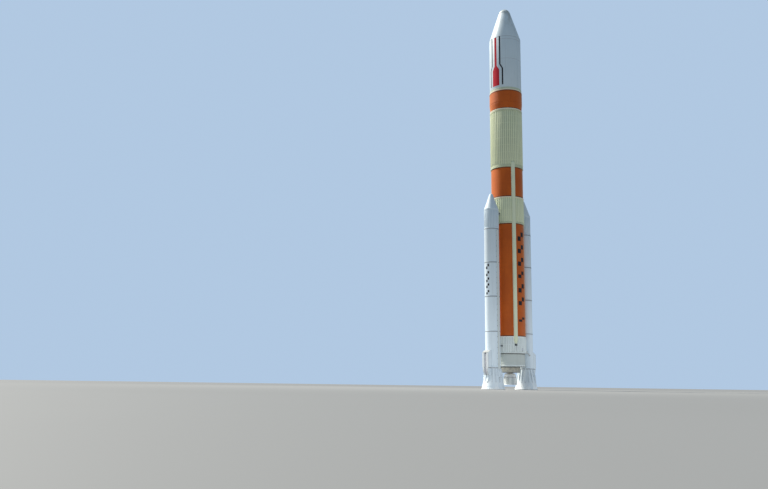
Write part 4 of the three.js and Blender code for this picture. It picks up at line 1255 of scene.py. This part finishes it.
def booster_pod():
    """The equipment pod: a box and a narrower foot, with two bright rails and a darker recess between."""
    top_out, foot_z, face = BOOSTER_R + 10, POD_LOW + 1.4, POD_OUT - RECESS_DEEP
    upper = [(POD_WALL_LOW, POD_OUT - 1.2, POD_HALF - 1.2), (POD_WALL_LOW + 1.4, POD_OUT, POD_HALF)]
    upper += [(POD_FACE_HIGH, POD_OUT, POD_HALF)]
    slope = [(POD_HIGH - 1.4, top_out + 1, POD_HALF), (POD_HIGH, top_out - 1.4, POD_HALF - 1.2)]
    lower = [(POD_LOW, POD_FOOT_OUT - 1.2, POD_FOOT_HALF - 1.2)]
    lower += [(foot_z, pod_foot_face(foot_z), POD_FOOT_HALF)]
    lower += [(POD_BEND, POD_OUT, (POD_FOOT_HALF + POD_WAIST_HALF) / 2)]
    lower += [(POD_WAIST, POD_OUT, POD_WAIST_HALF)]
    walls = pod_rails(upper + slope, 0.6) + pod_rails(lower, 0.6)
    lower.append((POD_WALL_LOW + 1, POD_OUT, POD_WAIST_HALF))
    body = pod_rails(upper, 0.0, 3.0) + pod_rails(lower, 0.0, 3.0)

    middle = RECESS_HALF + 1
    # a grey band under the upper box's lower edge: painted shadow
    rows = [(z, POD_OUT - 3.5) for z in (POD_WAIST - 1, POD_WALL_LOW + 1)]
    groove = [pod_middle(rows, POD_WAIST_HALF + 1)]
    rows = [(RECESS_LOW - 2, pod_foot_face(RECESS_LOW - 2) - RECESS_DEEP), (POD_BEND, face)]
    panel = [pod_middle(rows + [(RECESS_HIGH + 2, face)], middle, 0.5)]
    rows = [(POD_LOW, POD_FOOT_OUT - 1.6), (foot_z, POD_FOOT_OUT)]
    rows += [(RECESS_LOW, pod_foot_face(RECESS_LOW) - 0.4)]
    body.append(pod_middle(rows, middle, 0.5))
    body.append(pod_middle([(z, POD_OUT - 0.4) for z in (RECESS_HIGH, POD_FACE_HIGH)], middle, 0.5))
    rows = [(POD_FACE_HIGH - 3, POD_OUT + 0.5), (POD_FACE_HIGH + 0.4, POD_OUT + 0.5)]
    top = [pod_middle(rows + [(POD_HIGH + 0.3, top_out + 0.6)], POD_HALF - 1)]
    for z in (RECESS_HIGH - 54, RECESS_HIGH - 110):
        body.append(block((face - 1, -RECESS_HALF, z - 2), (face + 1.4, RECESS_HALF, z + 2), 0.6))

    places = []
    for side in (-1, 1):
        for z in np.arange(POD_WALL_LOW + 12, POD_FACE_HIGH - 4, 17.5):
            places += [((POD_OUT, side * y, z), (1, 0, 0)) for y in (RECESS_HALF + 5, POD_HALF - 5)]
            places += [((x, side * POD_HALF, z), (0, side, 0)) for x in (POD_OUT - 12, BOOSTER_R + 18)]
        for z in (POD_BEND + 8, (POD_BEND + POD_WAIST) / 2, POD_WAIST - 8):
            places += [((POD_OUT, side * y, z), (1, 0, 0)) for y in (RECESS_HALF + 6, POD_FOOT_HALF - 1)]
    walls += bolts(places, 1.3, 0.9)
    # near-black spots at the pod's foot and near the top of its recess: painted shade
    spot = (pod_foot_face(POD_LOW + 8) - 1, 0, POD_LOW + 8)
    dark = bolts([(spot, (1, 0, -POD_SLOPE))], 5.5, 2.4, 20)
    dark += bolts([((face, 0, RECESS_HIGH - 8), (1, 0, 0))], 6.0, 3.0, 20)
    parts = [(walls, SKIRT_WHITE), (body, POD_WHITE), (panel, PANEL_GREY), (top, POD_TOP), (dark, DARK_SHADE)]
    return parts + [(groove, JOINT_GREY_AND_SHADE)]


def booster(letter, side):
    """One booster with its outer side at -X or +X."""

    def put(name, parts, slot, part=None, body="rocket"):
        turn = 0 if side > 0 else 180
        placed = [(moved(shells, (side * BOOSTER_X, 0, 0), turn), look) for shells, look in parts]
        piece(f"{name}_{letter}", placed, body, [f"booster_{letter}_{part}"] if part else ())

    put("booster_nose", booster_nose(), "white_paint", "nose_cone")
    put("booster_forward_skirt", booster_forward(), "white_paint", "forward_skirt")
    for number in range(1, 5):
        segment = f"motor_segment_{number}"
        _, low, high = span(f"booster_{letter}_{segment}")
        case = booster_segment(low, high, BOOSTER_WHITE if number == 1 else JOINT_GREY_AND_SHADE)
        put(f"booster_case_{number}", case, "white_paint", segment)
    put("booster_flared_skirt", booster_skirt(), "white_paint", "skirt")
    put("booster_rear", booster_rear(), "grey_paint", "rear_dome")
    bearing = "bearing_rubber", "flexible_bearing", f"nozzle_bearing_{letter}"
    put("booster_bearing_ring", booster_bearing(), *bearing)
    put("booster_nozzle_cone", booster_nozzle(), "nozzle_grey", "nozzle", f"nozzle_{letter}")
    put("booster_raceway_cover", booster_raceway(f"booster_{letter}_raceway"), "white_paint", "raceway")
    put("booster_pod", booster_pod(), "white_paint", "equipment_pod")
    marks = quartered(BOOSTER_MARKS, BOOSTER_MARK_TURN, BOOSTER_MARK_HALF, BOOSTER_R + 0.1)
    put("booster_marks", [(marks, BLACK)], "marks")


booster("a", -1)
booster("b", 1)


# Fittings between the boosters and the core: made on the +X side, and turned half round for the other


def saddle(half, low, high, clear=0.4, ease=1.0):
    """A plate that fills the gap between the ribbed core and a booster, half its width to each side."""
    across = np.linspace(-half, half, 17)
    line = [(math.sqrt((SECTION_R + clear) ** 2 - y**2), y) for y in across]
    line += [(BOOSTER_X - math.sqrt((BOOSTER_R + clear) ** 2 - y**2), y) for y in across[::-1]]
    return loft([[(x, y, z) for x, y in line] for z in (low, low + ease, high - ease, high)])


STRUT_TURN, STRUT_R = -49, 6.0
STRUT_TOP, STRUT_FOOT = (CORE_R + 4, 456.0), (30.0, 87.0, 424.0)


def fittings(letter, turn):
    for name, half in (("forward_fitting", 47), ("aft_fitting", 57)):
        node = f"{name}_{letter}"
        _, low, high = span(node)
        plates = [saddle(half, high - 13, high), saddle(half, low, low + 7)]
        # the darker web between the two plates is painted shade
        shaded_web = [saddle(half - 2.5, low + 6, high - 12)]
        core_edge = math.sqrt(SECTION_R**2 - half**2)
        middle = (core_edge + BOOSTER_X - math.sqrt(BOOSTER_R**2 - half**2)) / 2
        for side in (-1, 1):
            places = [((middle + shift, side * (half - 0.2), high - 6.5), (0, side, 0)) for shift in (-7, 7)]
            plates += bolts(places, 2.2, 1.6)
            plates.append(tube([(middle, side * (half - 7), z) for z in (low + 3, high - 3)], 4.5, 20))
        parts = [(moved(plates, turn=turn), FITTING), (moved(shaded_web, turn=turn), DARK_METAL_AND_SHADE)]
        piece(f"{name}_bracket_{letter}", parts, replaces=[node])

    r, z = STRUT_TOP
    top = Vector(at(r, math.radians(STRUT_TURN), z))
    inwards, across, z = STRUT_FOOT
    foot = Vector((BOOSTER_X - inwards, -across, z))
    shells, pins = [bar(top, foot, STRUT_R, 24)], []
    for start, end in ((0.3, 0.36), (0.62, 0.68)):
        shells.append(tube([top.lerp(foot, start), top.lerp(foot, end)], STRUT_R + 1.6, 24))
    for end, lug_r, half in ((top, 12.6, 10.6), (foot, 10.6, 8.6)):
        shells += moved([drum(lug_r, end.z - half, end.z + half, 32, 1.2)], (end.x, end.y, 0))
        pins += moved([drum(4.2, end.z - half - 1.6, end.z + half + 1.6, 20, 0.8)], (end.x, end.y, 0))
    parts = [(moved(shells, turn=turn), FITTING), (moved(pins, turn=turn), DARK_METAL_AND_SHADE)]
    piece(f"sway_strut_bar_{letter}", parts, replaces=[f"sway_strut_{letter}"])


fittings("a", 180)
fittings("b", 0)
